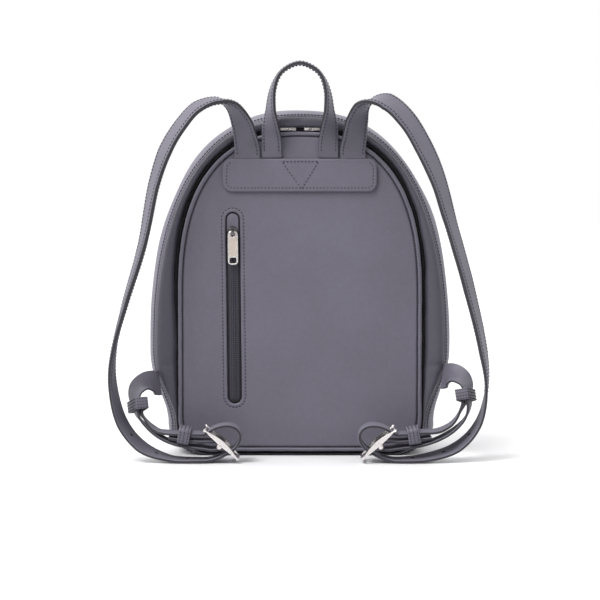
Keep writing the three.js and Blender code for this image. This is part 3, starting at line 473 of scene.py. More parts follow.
def leather(name, colour, grain=1150.0, depth=0.00016, rough=(0.5, 0.64)):
    look, tree, shader = new_look(name, colour, rough[0], sheen=0.06)
    pores = texture(tree, "ShaderNodeTexVoronoi", feature="SMOOTH_F1", Scale=grain, Smoothness=0.4)
    fine = texture(tree, "ShaderNodeTexNoise", Scale=grain * 2.2, Detail=3.0)
    broad = texture(tree, "ShaderNodeTexNoise", Scale=16.0, Detail=3.0)
    patches = texture(tree, "ShaderNodeTexNoise", Scale=190.0, Detail=2.0)
    bumped(tree, shader, scaled_sum(tree, fine, 0.35, pores), 0.5, depth)
    mix = tinted(tree, broad, colour, 0.94, 1.06)
    for source, low, high in ((patches, 0.96, 1.03), (pores, 1.0, 0.9)):
        layer = tinted(tree, source, (1, 1, 1), low, high)
        blend = add_node(tree, "ShaderNodeMix", {}, data_type="RGBA", blend_type="MULTIPLY")
        blend.inputs[0].default_value = 1.0
        tree.links.new(mix, blend.inputs[6])
        tree.links.new(layer, blend.inputs[7])
        mix = blend.outputs[2]
    coloured(tree, shader, mix)
    dulled(tree, shader, patches, *rough)
    return look


def woven(name, colour, threads=1100.0, depth=0.0003):
    look, tree, shader = new_look(name, colour, 0.85, sheen=0.1)
    waves = [texture(tree, "ShaderNodeTexWave", bands_direction=way, Scale=threads / 6.3, Distortion=0.3)
             for way in "XZ"]
    both = add_node(tree, "ShaderNodeMath", dict(enumerate(waves)), operation="MULTIPLY").outputs[0]
    coloured(tree, shader, tinted(tree, both, colour, 0.6, 1.35))
    bumped(tree, shader, both, 0.8, depth)
    return look


def metal(name, colour, rough=0.2, brush=0.05):
    look, tree, shader = new_look(name, colour, rough, metallic=1.0)
    streaks = texture(tree, "ShaderNodeTexNoise", Scale=2600.0, Detail=2.0)
    smear = texture(tree, "ShaderNodeTexNoise", Scale=60.0, Detail=3.0)
    bumped(tree, shader, streaks, brush, 0.00001)
    dulled(tree, shader, smear, rough * 0.7, rough * 1.4)
    coloured(tree, shader, tinted(tree, smear, colour, 0.93, 1.04))
    return look


def thread_look(name, colour):
    look, tree, shader = new_look(name, colour, 0.7, sheen=0.1)
    twist = texture(tree, "ShaderNodeTexWave", bands_direction="DIAGONAL", Scale=420.0, Distortion=1.0)
    coloured(tree, shader, tinted(tree, twist, colour, 0.75, 1.15))
    bumped(tree, shader, twist, 0.5, 0.0001)
    return look


def darker(share):
    return [c * share for c in GREY]


GREY = (0.168, 0.158, 0.203)
LEATHER = leather("leather", GREY)
# The lip's leather is the panel's grey darkened as painted shade, for the shade where the lip rolls into
# the zip's gap.
LIP_SHADED_LEATHER = leather("lip_painted_shade_leather", darker(0.6))
STRAP_LEATHER = leather("strap_leather", darker(0.84), rough=(0.46, 0.58))
EDGE_PAINT = leather("edge_paint", darker(0.12), grain=500, depth=0.00005, rough=(0.5, 0.6))
THREAD = thread_look("thread", (0.03, 0.028, 0.042))
DARK_TAPE = woven("dark_tape", (0.012, 0.012, 0.015))
POCKET_TAPE = woven("pocket_tape", (0.062, 0.058, 0.078))
TEETH = leather("teeth", (0.02, 0.02, 0.024), grain=1600, depth=0.00004, rough=(0.35, 0.45))
SILVER = metal("silver", (0.80, 0.76, 0.75), rough=0.24)
# A dark metal for the pocket slider, darkened as painted shade for the shadow under the puller and in the
# slot.
SHADED_SLIDER_METAL = metal("slider_painted_shade_metal", (0.16, 0.15, 0.15), rough=0.3)
CHAMPAGNE = metal("champagne", (0.80, 0.70, 0.62), rough=0.28, brush=0.2)
METAL_SHARP = 20


def keep(piece, nodes=(), body="bag"):
    """Ties a piece to its body and hides the nodes that it stands for."""
    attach(piece, body)
    if nodes:
        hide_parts(*nodes)


# The body

# The shell's sections: how deep, how far from the seam's outline to the full one, and how far on
# to the front's.
SHELL_SECTIONS = [
    (0.0, 0.0, 0.0), (0.06, 0.5, 0.0), (0.18, 0.85, 0.0), (0.36, 1.0, 0.0), (0.62, 1.0, 0.0),
    (0.78, 1.0, 0.13), (0.89, 1.0, 0.36), (0.96, 1.0, 0.68), (1.0, 1.0, 1.0),
]
# The shell's rolled edge at the seam: inset, and how far the edge stands in front of it.
SHELL_EDGE = [(2.2, 0.1), (1.0, -0.5), (-0.1, -0.4)]
FRONT_CROWN = 3.0
CAP_STEPS = 16
SHELL_WAVE, SHELL_WAVE_SIZE = 1.8, 62
CREASE_DEPTH = 2.0


def shell_ring(depth, to_full, to_front, inset=0.0):
    sizes = mixed(FULL, FRONT, to_front) if to_front > 0 else mixed(SEAM, FULL, to_full)
    y = SEAM_Y + (FRONT_Y - inset - SEAM_Y) * depth
    return at_depth(outline(sizes, inset), y)


def front_shell():
    rows = smooth_rows(SHELL_SECTIONS, 6)
    rows[:, 1:] = np.clip(rows[:, 1:], 0, 1)
    rings = [at_depth(outline(SEAM, inset), SEAM_Y + y) for inset, y in SHELL_EDGE]
    rings += [shell_ring(*row) for row in rows]
    edge = rings[-1]
    centre = np.array([0, FRONT_Y, 132.0])
    for k in range(1, CAP_STEPS + 1):
        share = 1 - k / (CAP_STEPS + 0.3)
        ring = centre + (edge - centre) * share
        ring[:, 1] = FRONT_Y + FRONT_CROWN * (1 - share**2)
        rings.append(ring)
    outer = np.concatenate(rings)
    x, y, z = outer.T
    free = eased(z, 1.5, 30) * eased(y, SEAM_Y + 1, SEAM_Y + 25)
    outer += wobble(outer, SHELL_WAVE_SIZE, SHELL_WAVE) * free[:, None]
    low = eased(z, 2, 18) * (1 - eased(z, 45, 110)) * eased(y, -25, 5)
    stretched = outer * [1 / 26, 1 / 60, 1 / 11]
    crease = np.array([noise.noise(Vector(p) + Vector((7, 3, 1))) for p in stretched])
    outer += (outer - [0, 0, 110]) / 130 * (crease * CREASE_DEPTH * low)[:, None]
    outer[:, 2] = np.maximum(outer[:, 2], np.where(z < 0.5, z, 0.3))
    inner = np.concatenate([shell_ring(*row, SHELL_WALL) for row in SHELL_SECTIONS])
    count, first = len(rings[0]), len(outer)
    points, faces = joined([(outer, ring_faces(len(rings), count, caps=False)),
                            (inner, ring_faces(len(SHELL_SECTIONS), count, caps=False))])
    faces.append(tuple(range(first - count, first)))
    faces.append(tuple(range(len(points) - count, len(points))))
    faces += [(i, (i + 1) % count, first + (i + 1) % count, first + i) for i in range(count)]
    keep(put("front_shell_leather", points, faces, [LEATHER]), ["front_shell"])


LIP_PROFILE = [
    [0.97, 0.0], [0.985, 0.35], [0.91, 0.72], [0.7, 1.0],
    [0.42, 0.99], [0.17, 0.8], [0.03, 0.42], [0.0, 0.0],
]
LIP_COUNT = 420


def groove_at(distance, width):
    return np.exp(-((distance / width) ** 2))


def gusset_lip():
    profile = smooth_rows(LIP_PROFILE, 4, closed=True)
    inner, outer = outline(LIP_EDGE, 0, LIP_COUNT), outline(SEAM, 0, LIP_COUNT)
    middle = (inner + outer) / 2
    flat = at_depth(middle, 0)
    edge_wave = bumps(flat, 34, 3) * 0.5 + bumps(flat, 15, 9) * 0.22
    crest_wave = bumps(flat, 24, 5) * 0.1
    pucker = bumps(flat, 5.5, 1) * 0.05
    top_seam = groove_at(middle[:, 0], 1.1) * (middle[:, 1] > 200)
    end_seams = groove_at(middle[:, 1] - ZIP_END_UP, 1.3)
    rings = []
    for across, rise in profile:
        share = across + edge_wave * 0.28 * (1 - across) * (rise > 0.05)
        lift = rise * (1 + crest_wave + pucker * across - 0.2 * top_seam - 0.22 * end_seams)
        ring = inner + (outer - inner) * share[:, None]
        rings.append(at_depth(ring, ON_TAPE_Y - lift * LIP_RISE))
    points = np.concatenate(rings)
    # The lip takes the darkened leather: painted shade for its roll into the gap.
    piece = put("gusset_lip_leather", points, ring_faces(len(rings), LIP_COUNT, True), [LIP_SHADED_LEATHER])
    keep(piece, ["gusset_lip"])


def seam_stitches():
    """The row round the outer seam, on the shell's side of it."""
    sizes = mixed(SEAM, FULL, 0.36)
    line = at_depth(outline(sizes, 0, SEAM_COUNT), SEAM_Y + 2.9)
    normal = line - [0, 0, 130.0]
    normal[:, 1] = -np.linalg.norm(normal[:, [0, 2]], axis=1) * 0.9
    normal = unit(normal)
    return stitched_line(line + normal * STITCH_SUNK, normal, closed=True)


# Across the tape: share of its width, and its depth.
TAPE_SECTION = [
    (0, TAPE_FRONT_Y), (0.3, TAPE_FRONT_Y), (0.6, TAPE_FRONT_Y - 0.1), (1, TAPE_FRONT_Y),
    (1, TAPE_BACK_Y), (0.5, TAPE_BACK_Y), (0, TAPE_BACK_Y),
]
TAPE_COUNT = 300


def zip_tape():
    inner, outer = outline(PANEL, 3, TAPE_COUNT), outline(mixed(LIP_EDGE, SEAM, 0.5), 0, TAPE_COUNT)
    rings = [at_depth(inner + (outer - inner) * share, y) for share, y in TAPE_SECTION]
    faces = ring_faces(len(rings), TAPE_COUNT, all_round=True)
    keep(put("zip_tape_cloth", np.concatenate(rings), faces, [DARK_TAPE]), ["main_zip_tape"])


TOOTH_PITCH = 1.55
TOOTH_HALF = (0.85, 0.42)
TOOTH_SHIFT = 0.12
TOOTH_STATIONS = [(0.0, 1.0), (1.0, 1.0), (1.4, 0.6)]
TEETH_FROM_MIDDLE = 11.8


def zip_teeth(side):
    """A chain's teeth on one side, from beside its slider down to the zip's end."""
    sign = SIGNS[side]
    line = (outline(PANEL, -CLEARANCE - WELT_WIDTH, 2400) + outline(LIP_EDGE, 0, 2400)) / 2
    line = line[(line[:, 0] > TEETH_FROM_MIDDLE) & (line[:, 1] > ZIP_END_UP)]
    line = along_line(line, int(run_along(line)[-1] / TOOTH_PITCH))
    along = unit(np.gradient(line, axis=0))
    out = np.stack([along[:, 1], -along[:, 0]], axis=1)
    half, deep = TOOTH_HALF
    corners = [(-half, -deep), (half, -deep), (half, deep), (-half, deep)]
    parts = []
    for i, centre in enumerate(line):
        shift = TOOTH_SHIFT if i % 2 else -TOOTH_SHIFT
        rings = []
        for rise, wide in TOOTH_STATIONS:
            for a, b in corners:
                p = centre + out[i] * (a * wide + shift) + along[i] * b * wide
                rings.append([sign * p[0], ON_TAPE_Y - rise, p[1]])
        parts.append((np.array(rings), ring_faces(len(TOOTH_STATIONS), len(corners))))
    piece = put("zip_teeth_" + side, *joined(parts), [TEETH], sharp=40)
    keep(piece, ["main_zip_chain_" + side])


# The back panel

def in_pocket(local):
    """2-D points drawn about the pocket's middle, where they lie on the panel."""
    local = np.asarray(local, float)
    c, s = math.cos(POCKET_LEAN), math.sin(POCKET_LEAN)
    return np.stack([POCKET_X + local[:, 0] * c + local[:, 1] * s,
                     POCKET_UP - local[:, 0] * s + local[:, 1] * c], axis=1)


def stadium(grow, fine=60):
    """The slot's outline, a box with half circles at its ends, grown on all sides."""
    radius, half = POCKET_WIDTH / 2 + grow, (POCKET_LENGTH - POCKET_WIDTH) / 2
    right = []
    for low, up in ((-90, -half), (0, half)):
        turn = np.radians(np.linspace(low, low + 90, fine // 2))
        right.append(np.column_stack([radius * np.cos(turn), up + radius * np.sin(turn)]))
    right = np.vstack(right)
    return np.vstack([right, right[1:-1][::-1] * [-1, 1]])


PANEL_HALVES = 180


def halves(loop, low, high):
    """A closed line from its point nearest low round to itself by way of high."""
    loop = np.roll(loop, -int(np.argmin(np.linalg.norm(loop - low, axis=1))), axis=0)
    turn = int(np.argmin(np.linalg.norm(loop - high, axis=1)))
    first = along_line(loop[: turn + 1], PANEL_HALVES + 1)[:-1]
    second = along_line(np.vstack([loop[turn:], loop[:1]]), PANEL_HALVES + 1)[:-1]
    return np.vstack([first, second])


def panel_ring(inset):
    dense = evenly(drawn_outline(PANEL, inset), 3000)
    return halves(dense, [POCKET_X + 1, PANEL["foot"]], [POCKET_X - 1, 300.0])


def slot_ring(grow):
    reach = POCKET_LENGTH / 2 + grow
    return halves(evenly(in_pocket(stadium(grow)), 2400), *in_pocket([[0, -reach], [0, reach]]))


# Across the slot's rim: how far out from the slot's edge, and how far the surface stands
# back from the panel's face.
RIM = [
    (-0.05, 7.9), (0.0, 2.2), (0.05, 0.9), (0.3, 0.25), (0.8, -0.18), (1.5, -0.3), (2.3, -0.2),
    (2.9, -0.02), (3.3, 0.14), (3.7, 0.2), (4.1, 0.14), (4.5, 0.02), (5.2, 0.0), (7.0, 0.0),
]
# Across the panel's edge: inset, and how far back.
PANEL_FALL = 1.25
PANEL_EDGE = [
    (0.15, 8.0), (0.0, 7.2), (0.0, 3.0), (0.3, 2.1), (0.9, 1.5), (1.8, 1.15), (3.2, PANEL_FALL * 0.85),
]
# Shares of the way from the panel's edge to the slot's rim, closer together at the edge.
PANEL_SHARES = [0.012, 0.03, 0.055, *np.linspace(0.09, 0.985, 44)]


def back_panel():
    rings, backs = [], []
    for inset, back in PANEL_EDGE:
        rings.append(panel_ring(inset))
        backs.append(np.full(2 * PANEL_HALVES, back))
    edge, rim = panel_ring(PANEL_EDGE[-1][0]), slot_ring(RIM[-1][0])
    span = np.linalg.norm(rim - edge, axis=1)
    for share in PANEL_SHARES:
        rings.append(edge + (rim - edge) * share)
        from_edge = share * span
        backs.append(PANEL_FALL * (1 - eased(from_edge, -12, 34)))
    for grow, back in reversed(RIM):
        rings.append(slot_ring(grow))
        backs.append(np.full(2 * PANEL_HALVES, back))
    flat = np.concatenate(rings)
    back = np.concatenate(backs)
    points = at_depth(flat, BACK_Y + back)
    inside = (back < 1.2) & (back >= 0)
    soft = 0.5 * np.abs(bumps(points, 58, 2)) + 0.16 * np.abs(bumps(points, 21, 4))
    under_patch = (np.abs(flat[:, 0]) < 70) & (np.abs(flat[:, 1] - 266) < 18)
    points[:, 1] += np.where(inside & ~under_patch, soft, 0)
    faces = ring_faces(len(rings), 2 * PANEL_HALVES, all_round=True)
    piece = put("back_panel_leather", points, faces, [LEATHER])
    keep(piece, ["back_panel"])


WELT_SIDES = 14
WELT_COUNT = 420
WELT_BACK = 2.6


def panel_welt():
    radius = WELT_WIDTH / 2
    rings = []
    for angle in turn_angles(WELT_SIDES):
        offset = CLEARANCE + radius + radius * math.cos(angle)
        ring = outline(PANEL, -offset, WELT_COUNT)
        rings.append(at_depth(ring, BACK_Y + WELT_BACK + radius * math.sin(angle)))
    points = np.concatenate(rings)
    points += wobble(points, 9, 0.25, 2)
    faces = ring_faces(WELT_SIDES, WELT_COUNT, all_round=True)
    keep(put("panel_welt_leather", points, faces, [LEATHER]), ["panel_welt"])


def crevice_stitches_and_shade():
    """Dark rows deep in the seams, beside the panel and beside the outer rim, set close as stitches and as
    painted shade lines in the crevices.
    """
    beside_panel = at_depth(outline(PANEL, -0.3, SEAM_COUNT), BACK_Y + 1.3)
    beside_rim = at_depth(outline(SEAM, -0.5, SEAM_COUNT), SEAM_Y - 0.7)
    return [stitched_line(line, BACKWARD, pitch=2.7, long=2.25, closed=True)
            for line in (beside_panel, beside_rim)]


# Across the patch's rim: inset, and how far the surface stands out from its back face.
PATCH_RIM = [
    (0.5, 0.0), (0.0, 0.15), (0.0, 1.6), (0.2, 2.15), (0.6, 2.45), (1.3, 2.6), (2.6, 2.64), (3.1, 2.58),
    (3.5, 2.52), (3.9, 2.58), (4.4, 2.64), (6.5, 2.68), (10.0, 2.68), (14.6, 2.68),
]
PATCH_COUNT = 260
PATCH_STITCH_INSET = 3.5


def yoke_patch():
    width, height = PATCH_SIZE
    middle = PATCH_TOP - height / 2
    rings = []
    for inset, rise in PATCH_RIM:
        box = rounded_box(width - 2 * inset, height - 2 * inset, max(PATCH_CORNER - inset, 0.7), 12)
        rings.append(at_depth(evenly(box, PATCH_COUNT) + [0, middle], ON_PANEL_Y - rise))
    points = np.concatenate(rings)
    lifted = points[:, 1] < ON_PANEL_Y - 2.3
    points[:, 1] += np.where(lifted, 0.12 * bumps(points, 26, 6), 0)
    piece = put("yoke_patch_leather", points, ring_faces(len(rings), PATCH_COUNT), [LEATHER])
    keep(piece, ["yoke_patch"])


TRIANGLE = [(-16.9, 278.6), (1.6, 252.9), (17.3, 278.8)]


def patch_stitches():
    """Down one side, along the foot and up the other side, and the triangle."""
    width, height = PATCH_SIZE
    y = ON_PANEL_Y - PATCH_THICK - 0.02
    inset = PATCH_STITCH_INSET
    box = rounded_box(width - 2 * inset, height - 2 * inset, PATCH_CORNER - inset, 12)
    ring = np.roll(evenly(box, 700), 350, axis=0)
    below = ring[(ring[:, 1] < height / 2 - 3.6) | (np.abs(ring[:, 0]) > width / 2 - 8)]
    lines = [at_depth(below + [0, PATCH_TOP - height / 2], y + 0.2)]
    ends = [np.array([x, y - 0.05, z]) for x, z in TRIANGLE]
    lines += [along_line(np.array([ends[a], ends[b]]), 20) for a, b in ((0, 1), (2, 1), (0, 2))]
    return [stitched_line(line, BACKWARD, long=SHORT_STITCH) for line in lines]


def pocket_stitches():
    line = at_depth(slot_ring(3.7), BACK_Y + 0.3)
    return stitched_line(line, BACKWARD, pitch=3.3, long=SHORT_STITCH, closed=True)


# Ribbons: straps, belts, tabs and the handle

def curve_at(points, u):
    """Points on the centripetal curve through points, at places counted in points."""
    last = len(points) - 1
    before = np.clip(np.floor(u).astype(int), 0, last - 1)
    t = (u - before)[:, None]
    grown = np.vstack([2 * points[0] - points[1], points, 2 * points[-1] - points[-2]])
    a, b, c, d = (grown[before + k] for k in range(4))
    def step(p, q):
        return np.maximum(np.sum((p - q) ** 2, axis=1, keepdims=True) ** 0.25, 1e-4)
    d0, d1, d2 = step(a, b), step(b, c), step(c, d)
    t1 = ((b - a) / d0 - (c - a) / (d0 + d1) + (c - b) / d1) * d1
    t2 = ((c - b) / d1 - (d - b) / (d1 + d2) + (d - c) / d2) * d1
    return b + t1 * t + (-3 * b + 3 * c - 2 * t1 - t2) * t**2 + (2 * b - 2 * c + t1 + t2) * t**3


def frames_at(rows, u):
    """Where a route is at places counted in rows, and its along, wide and thick directions."""
    points = rows[:, :3]
    last = len(rows) - 1
    u = np.clip(np.asarray(u, float), 0, last)
    centre = curve_at(points, u)
    along = unit(curve_at(points, np.minimum(u + 0.01, last)) - curve_at(points, np.maximum(u - 0.01, 0)))
    numbers = np.arange(last + 1)
    roll = np.radians(np.interp(u, numbers, rows[:, 3]))[:, None]
    depth = np.interp(u, numbers, rows[:, 4])
    back = np.array([0.0, -1.0, 0.0])
    wide = unit(back - along * (along @ back)[:, None])
    wide = wide * np.cos(roll) + np.cross(along, wide) * np.sin(roll)
    return centre, along, wide, unit(np.cross(along, wide)), depth


def evened(rows, spacing):
    """Places along a route at even distances, and fine places with their distances."""
    u = np.linspace(0, len(rows) - 1, (len(rows) - 1) * 30 + 1)
    run = run_along(curve_at(rows[:, :3], u))
    s = np.linspace(0, run[-1], int(run[-1] / spacing) + 1)
    return np.interp(s, run, u), (u, run)


FLAT_SHARE = 0.46
ROUND_SHARE, ROUND_MOST = 0.38, 1.3
BAND_CROWN = 0.1
GROOVE_DEPTH, GROOVE_WIDTH = 0.16, 0.55


def band_section(width, depth):
    """Across a ribbon: (along its width, along its thickness, True on its painted edge)."""
    w, t = width / 2, depth * FLAT_SHARE
    r = min(ROUND_SHARE * depth, ROUND_MOST)
    stops = [w - r, w - STITCH_INSET + 0.8, w - STITCH_INSET, w - STITCH_INSET - 0.8, w * 0.4]
    across = [*stops, 0.0, *[-a for a in reversed(stops)]]
    section = []
    for sign in (1, -1):
        for a in across:
            groove = GROOVE_DEPTH * groove_at(abs(a) - (w - STITCH_INSET), GROOVE_WIDTH)
            crown = BAND_CROWN * (1 - (a / w) ** 2) - groove
            section.append((sign * a, sign * (t + crown), False))
        for k in range(1, 6):
            angle = math.radians(90 + 30 * k)
            a = -(w - r) + r * math.cos(angle)
            b = (t - r) * (1 if math.sin(angle) > 0 else -1 if math.sin(angle) < 0 else 0)
            section.append((sign * a, sign * (b + r * math.sin(angle)), 2 <= k <= 4))
    return section


def band(name, rows, width, spacing, seed):
    u, _ = evened(rows, spacing)
    centre, _, wide, thick, depth = frames_at(rows, u)
    rings = []
    for i in range(len(u)):
        section = band_section(width, depth[i])
        rings.append([centre[i] + wide[i] * a + thick[i] * b for a, b, _ in section])
    painted = [edge for _, _, edge in band_section(width, depth[0])]
    count = len(painted)
    points = np.array(rings).reshape(-1, 3)
    points += wobble(points, 28, 0.35, seed)
    marks = [1 if painted[i % count] and painted[(i + 1) % count] else 0
             for i in range(count * (len(rings) - 1))] + [1, 1]
    return put(name, points, ring_faces(len(rings), count), [STRAP_LEATHER, EDGE_PAINT], marks)


def band_stitches(rows, width, places):
    """Two rows on each face of a ribbon, between two places counted in rows."""
    u, _ = evened(rows, 1.5)
    u = u[(u >= places[0]) & (u <= places[1])]
    centre, _, wide, thick, depth = frames_at(rows, u)
    parts = []
    for face in (1, -1):
        for side in (1, -1):
            proud = thick * (face * (depth / 2 - STITCH_SUNK))[:, None]
            offset = wide * side * (width / 2 - STITCH_INSET) + proud
            parts.append(stitched_line(centre + offset, thick * face, pitch=3.3, long=2.1))
    return parts


HANDLE_ROWS = [
    (1.0, 0.0, 0.0, 90, 0.55), (1.01, 0.2, 0.3, 76, 0.8), (1.03, 0.34, 0.66, 52, 1.0),
    (1.03, 0.5, 0.85, 24, 1.0), (0.97, 0.7, 0.85, 11, 1.0), (0.79, 0.85, 0.75, 3, 1.0),
    (0.52, 0.94, 0.7, 0, 1.0), (0.0, 1.0, 0.65, 0, 1.0),
]


def handle_rows():
    def row(sign, across, up, out, turn, depth):
        thick = depth * HANDLE_THICK
        return [sign * across * HANDLE_SPACING / 2, ON_PANEL_Y - thick / 2 - out * HANDLE_WIDTH / 2,
                PATCH_TOP + 2 * CLEARANCE + up * HANDLE_RISE, turn, thick]
    left = [row(-1, *values) for values in HANDLE_ROWS]
    right = [row(1, *values) for values in HANDLE_ROWS[-2::-1]]
    return np.array(left + right, float)


# Along a strap: across, up, out and turn, and the depth, which is the same on both sides.
STRAPS = {
    "left": [
        (0.0, 1.0, 0.0, -90), (0.0, 1.03, 0.03, -84), (0.01, 1.066, 0.133, -66),
        (0.038, 1.119, 0.25, -51), (0.108, 1.174, 0.4, -22), (0.206, 1.191, 0.517, 8),
        (0.361, 1.171, 0.633, 22), (0.497, 1.105, 0.717, 26), (0.602, 1.025, 0.8, 28),
        (0.682, 0.92, 0.867, 22.6), (0.777, 0.709, 0.933, 15), (0.9, 0.524, 0.983, 8.5),
        (0.987, 0.368, 1.017, 0), (0.998, 0.256, 1.033, -10), (0.923, 0.125, 1.1, -18),
        (0.785, 0.05, 1.167, -16), (0.577, 0.012, 1.267, -3), (0.377, 0.007, 1.333, 0),
    ],
    "right": [
        (0.0, 1.0, 0.0, -90), (0.0, 1.03, 0.03, -84), (0.011, 1.065, 0.133, -70),
        (0.029, 1.126, 0.267, -56), (0.065, 1.171, 0.367, -30), (0.13, 1.19, 0.45, 2),
        (0.247, 1.188, 0.533, 38), (0.394, 1.131, 0.633, 43), (0.517, 1.041, 0.733, 43),
        (0.625, 0.934, 0.817, 35), (0.721, 0.788, 0.883, 26), (0.856, 0.577, 0.95, 22),
        (0.965, 0.365, 1.017, 16), (0.992, 0.249, 1.033, 6), (0.928, 0.124, 1.1, -8),
        (0.769, 0.048, 1.2, -14), (0.545, 0.015, 1.3, -8), (0.377, 0.008, 1.333, -2),
    ],
}
STRAP_DEPTHS = [0.5, 0.7, 0.9, *[1.0] * 9, 0.9, 0.7, *[0.67] * 4]
TABS = {
    "left": [
        (1.0, 1.0, -0.163, 72), (1.169, 1.019, 0.2, 55), (1.287, 0.942, 0.5, 36),
        (1.334, 0.816, 0.637, 26), (1.329, 0.66, 0.7, 20.4), (1.295, 0.489, 0.738, 10.7),
        (1.18, 0.324, 0.8, 4.3), (1.025, 0.171, 0.875, 1.7), (0.857, 0.064, 0.95, 0),
        (0.671, -0.012, 1.0, 0),
    ],
    "right": [
        (1.0, 1.0, -0.163, 58), (1.126, 1.045, 0.2, 55), (1.245, 1.0, 0.5, 36),
        (1.315, 0.9, 0.645, 24.0), (1.338, 0.765, 0.705, 17.0), (1.354, 0.58, 0.75, 11.7),
        (1.292, 0.395, 0.8, 5.1), (1.167, 0.247, 0.85, 1.9), (0.992, 0.123, 0.925, 0),
        (0.803, 0.032, 0.975, 0), (0.6, -0.03, 1.0, 0),
    ],
}
BELT_ENDS = {
    "left": [(1.219, 0.476, 0.72, -8), (1.101, 0.326, 0.8, -4), (0.975, 0.229, 0.9, -1),
             (0.823, 0.194, 0.975, 0), (0.696, 0.184, 1.0, 0)],
    "right": [(1.25, 0.565, 0.75, -9), (1.175, 0.417, 0.79, -5), (1.076, 0.301, 0.85, -2),
              (0.924, 0.214, 0.925, 0), (0.806, 0.188, 0.975, 0), (0.648, 0.184, 1.0, 0)],
}
TAB_UP = {"left": 69.0, "right": 75.0}
KEEPER_ACROSS = {"left": 0.8, "right": 0.75}
TAB_FOLD = [(0.68, -0.062), (0.39, -0.1), (0.2, -0.128)]
TAB_END = [(0.251, 0.056), (0.507, 0.058), (0.8, 0.086), (0.995, 0.114), (1.135, 0.135)]
LOOP = [
    (-0.043, -0.43), (-0.163, -0.231), (-0.239, -0.029), (-0.279, 0.13), (-0.267, 0.281),
    (-0.199, 0.407), (-0.073, 0.47), (0.075, 0.445), (0.198, 0.356), (0.299, 0.224),
    (0.363, 0.075), (0.405, -0.07),
]
UPPER_KEEPER_ROW = 4
SIGNS = {"left": -1, "right": 1}
TAB_ROOT_OUT = 3.2
BELT_GAP = 1.2
WRAP_RADIUS = BAR_RADIUS + CLEARANCE + TAB_THICK / 2


def seam_half(up):
    """Half the body's width at its seam, at a height."""
    line = drawn_outline(SEAM)
    right = line[line[:, 0] > 0]
    right = right[: int(np.argmax(right[:, 1])) + 1]
    return float(np.interp(up, right[:, 1], right[:, 0]))


def beside_buckle(sign, across, up):
    return [sign * (BUCKLE_X + across * BUCKLE_LENGTH), BUCKLE_Y, BUCKLE_UP + up * BUCKLE_LENGTH]


def on_buckle(sign, along, off):
    return [sign * (BUCKLE_X + along * math.cos(SLOPE) - off * math.sin(SLOPE)), BUCKLE_Y,
            BUCKLE_UP + along * math.sin(SLOPE) + off * math.cos(SLOPE)]


def low_point(side, across, up, out):
    reach = seam_half(TAB_UP[side]) + TAB_ROOT_OUT
    return [SIGNS[side] * (BUCKLE_X + (reach - BUCKLE_X) * across), BACK_Y - out * BUCKLE_OUT,
            BUCKLE_UP + (TAB_UP[side] - BUCKLE_UP) * up]


def tab_rows(side):
    sign = SIGNS[side]
    rows = [[*low_point(side, across, up, out), sign * roll, TAB_THICK]
            for across, up, out, roll in TABS[side]]
    rows += [[*beside_buckle(sign, *at), 0, TAB_THICK] for at in TAB_FOLD]
    bar = on_buckle(sign, 0, BAR_OFF)
    for angle in np.radians(np.linspace(-95, 75, 5)):
        rows.append([bar[0] - sign * WRAP_RADIUS * math.cos(angle), BUCKLE_Y,
                     bar[2] + WRAP_RADIUS * math.sin(angle), 0, TAB_THICK])
    rows += [[*beside_buckle(sign, *at), 0, TAB_THICK] for at in TAB_END]
    return np.array(rows, float)


def upper_keeper(side, tab):
    """The tab's frame at the upper keeper, and the sign that points to the buckle's side."""
    centre, along, wide, thick, _ = (v[0] for v in frames_at(tab, [UPPER_KEEPER_ROW]))
    inward = -1 if np.sign(thick[0]) == SIGNS[side] else 1
    return centre, along, wide, thick, inward


def strap_rows(side, tab):
    sign = SIGNS[side]
    reach = HALF + STRAP_REACH
    rows = []
    for (across, up, out, roll), depth in zip(STRAPS[side], STRAP_DEPTHS):
        thick = depth * STRAP_THICK
        rows.append([
            sign * (STRAP_SPACING / 2 + (reach - STRAP_SPACING / 2) * across),
            ON_PANEL_Y - thick / 2 - out * STRAP_STANDOFF,
            max(up * PATCH_TOP + (CLEARANCE if up >= 1 else 0), thick / 2 + CLEARANCE),
            sign * roll, thick,
        ])
    rows += [[*on_buckle(sign, a * BUCKLE_LENGTH, b * BUCKLE_LENGTH), 0, BELT_THICK] for a, b in LOOP]
    rows.append([*beside_buckle(sign, 0.53, 0.212), 0, BELT_THICK])
    for across, up, out, roll in reversed(BELT_ENDS[side]):
        rows.append([*low_point(side, across, up, out), sign * roll, BELT_THICK])
    centre, along, wide, thick, inward = upper_keeper(side, tab)
    for step in (1, 0, -1):
        p = centre + thick * inward * ((TAB_THICK + BELT_THICK) / 2 + BELT_GAP)
        p = p + along * step * KEEPER_LENGTH / 3
        rows.append([*p, -sign * TABS[side][UPPER_KEEPER_ROW][3], BELT_THICK])
    return np.array(rows, float)


# The buckles and keepers

# For each keeper: its room beside the belt, its room across the stack, and where its stitch
# rows lie along the belt.
KEEPERS = {
    "upper": (1.3, TAB_THICK + BELT_THICK + BELT_GAP + 3.4, (-4.2, -1.4, 1.4, 4.2)),
    "lower": (WINDOW_ROOM, TAB_THICK + BELT_THICK + 4.6 + 1.6, (-3.6, 0, 3.6)),
}
KEEPER_RISE = 0.179
KEEPER_LEAN = math.radians(10)
SLOT_ROOM = 0.45
RING_SLOT = (2.15, BAR_RADIUS + 1.85)
STRAP_STEP = 2.3
TAB_STEP = 1.8


def cross_rod(point, half, radius, sides=20, edge=0.35):
    x, y, z = point
    return rod([x, y - half, z], [x, y + half, z], radius, edge, sides)


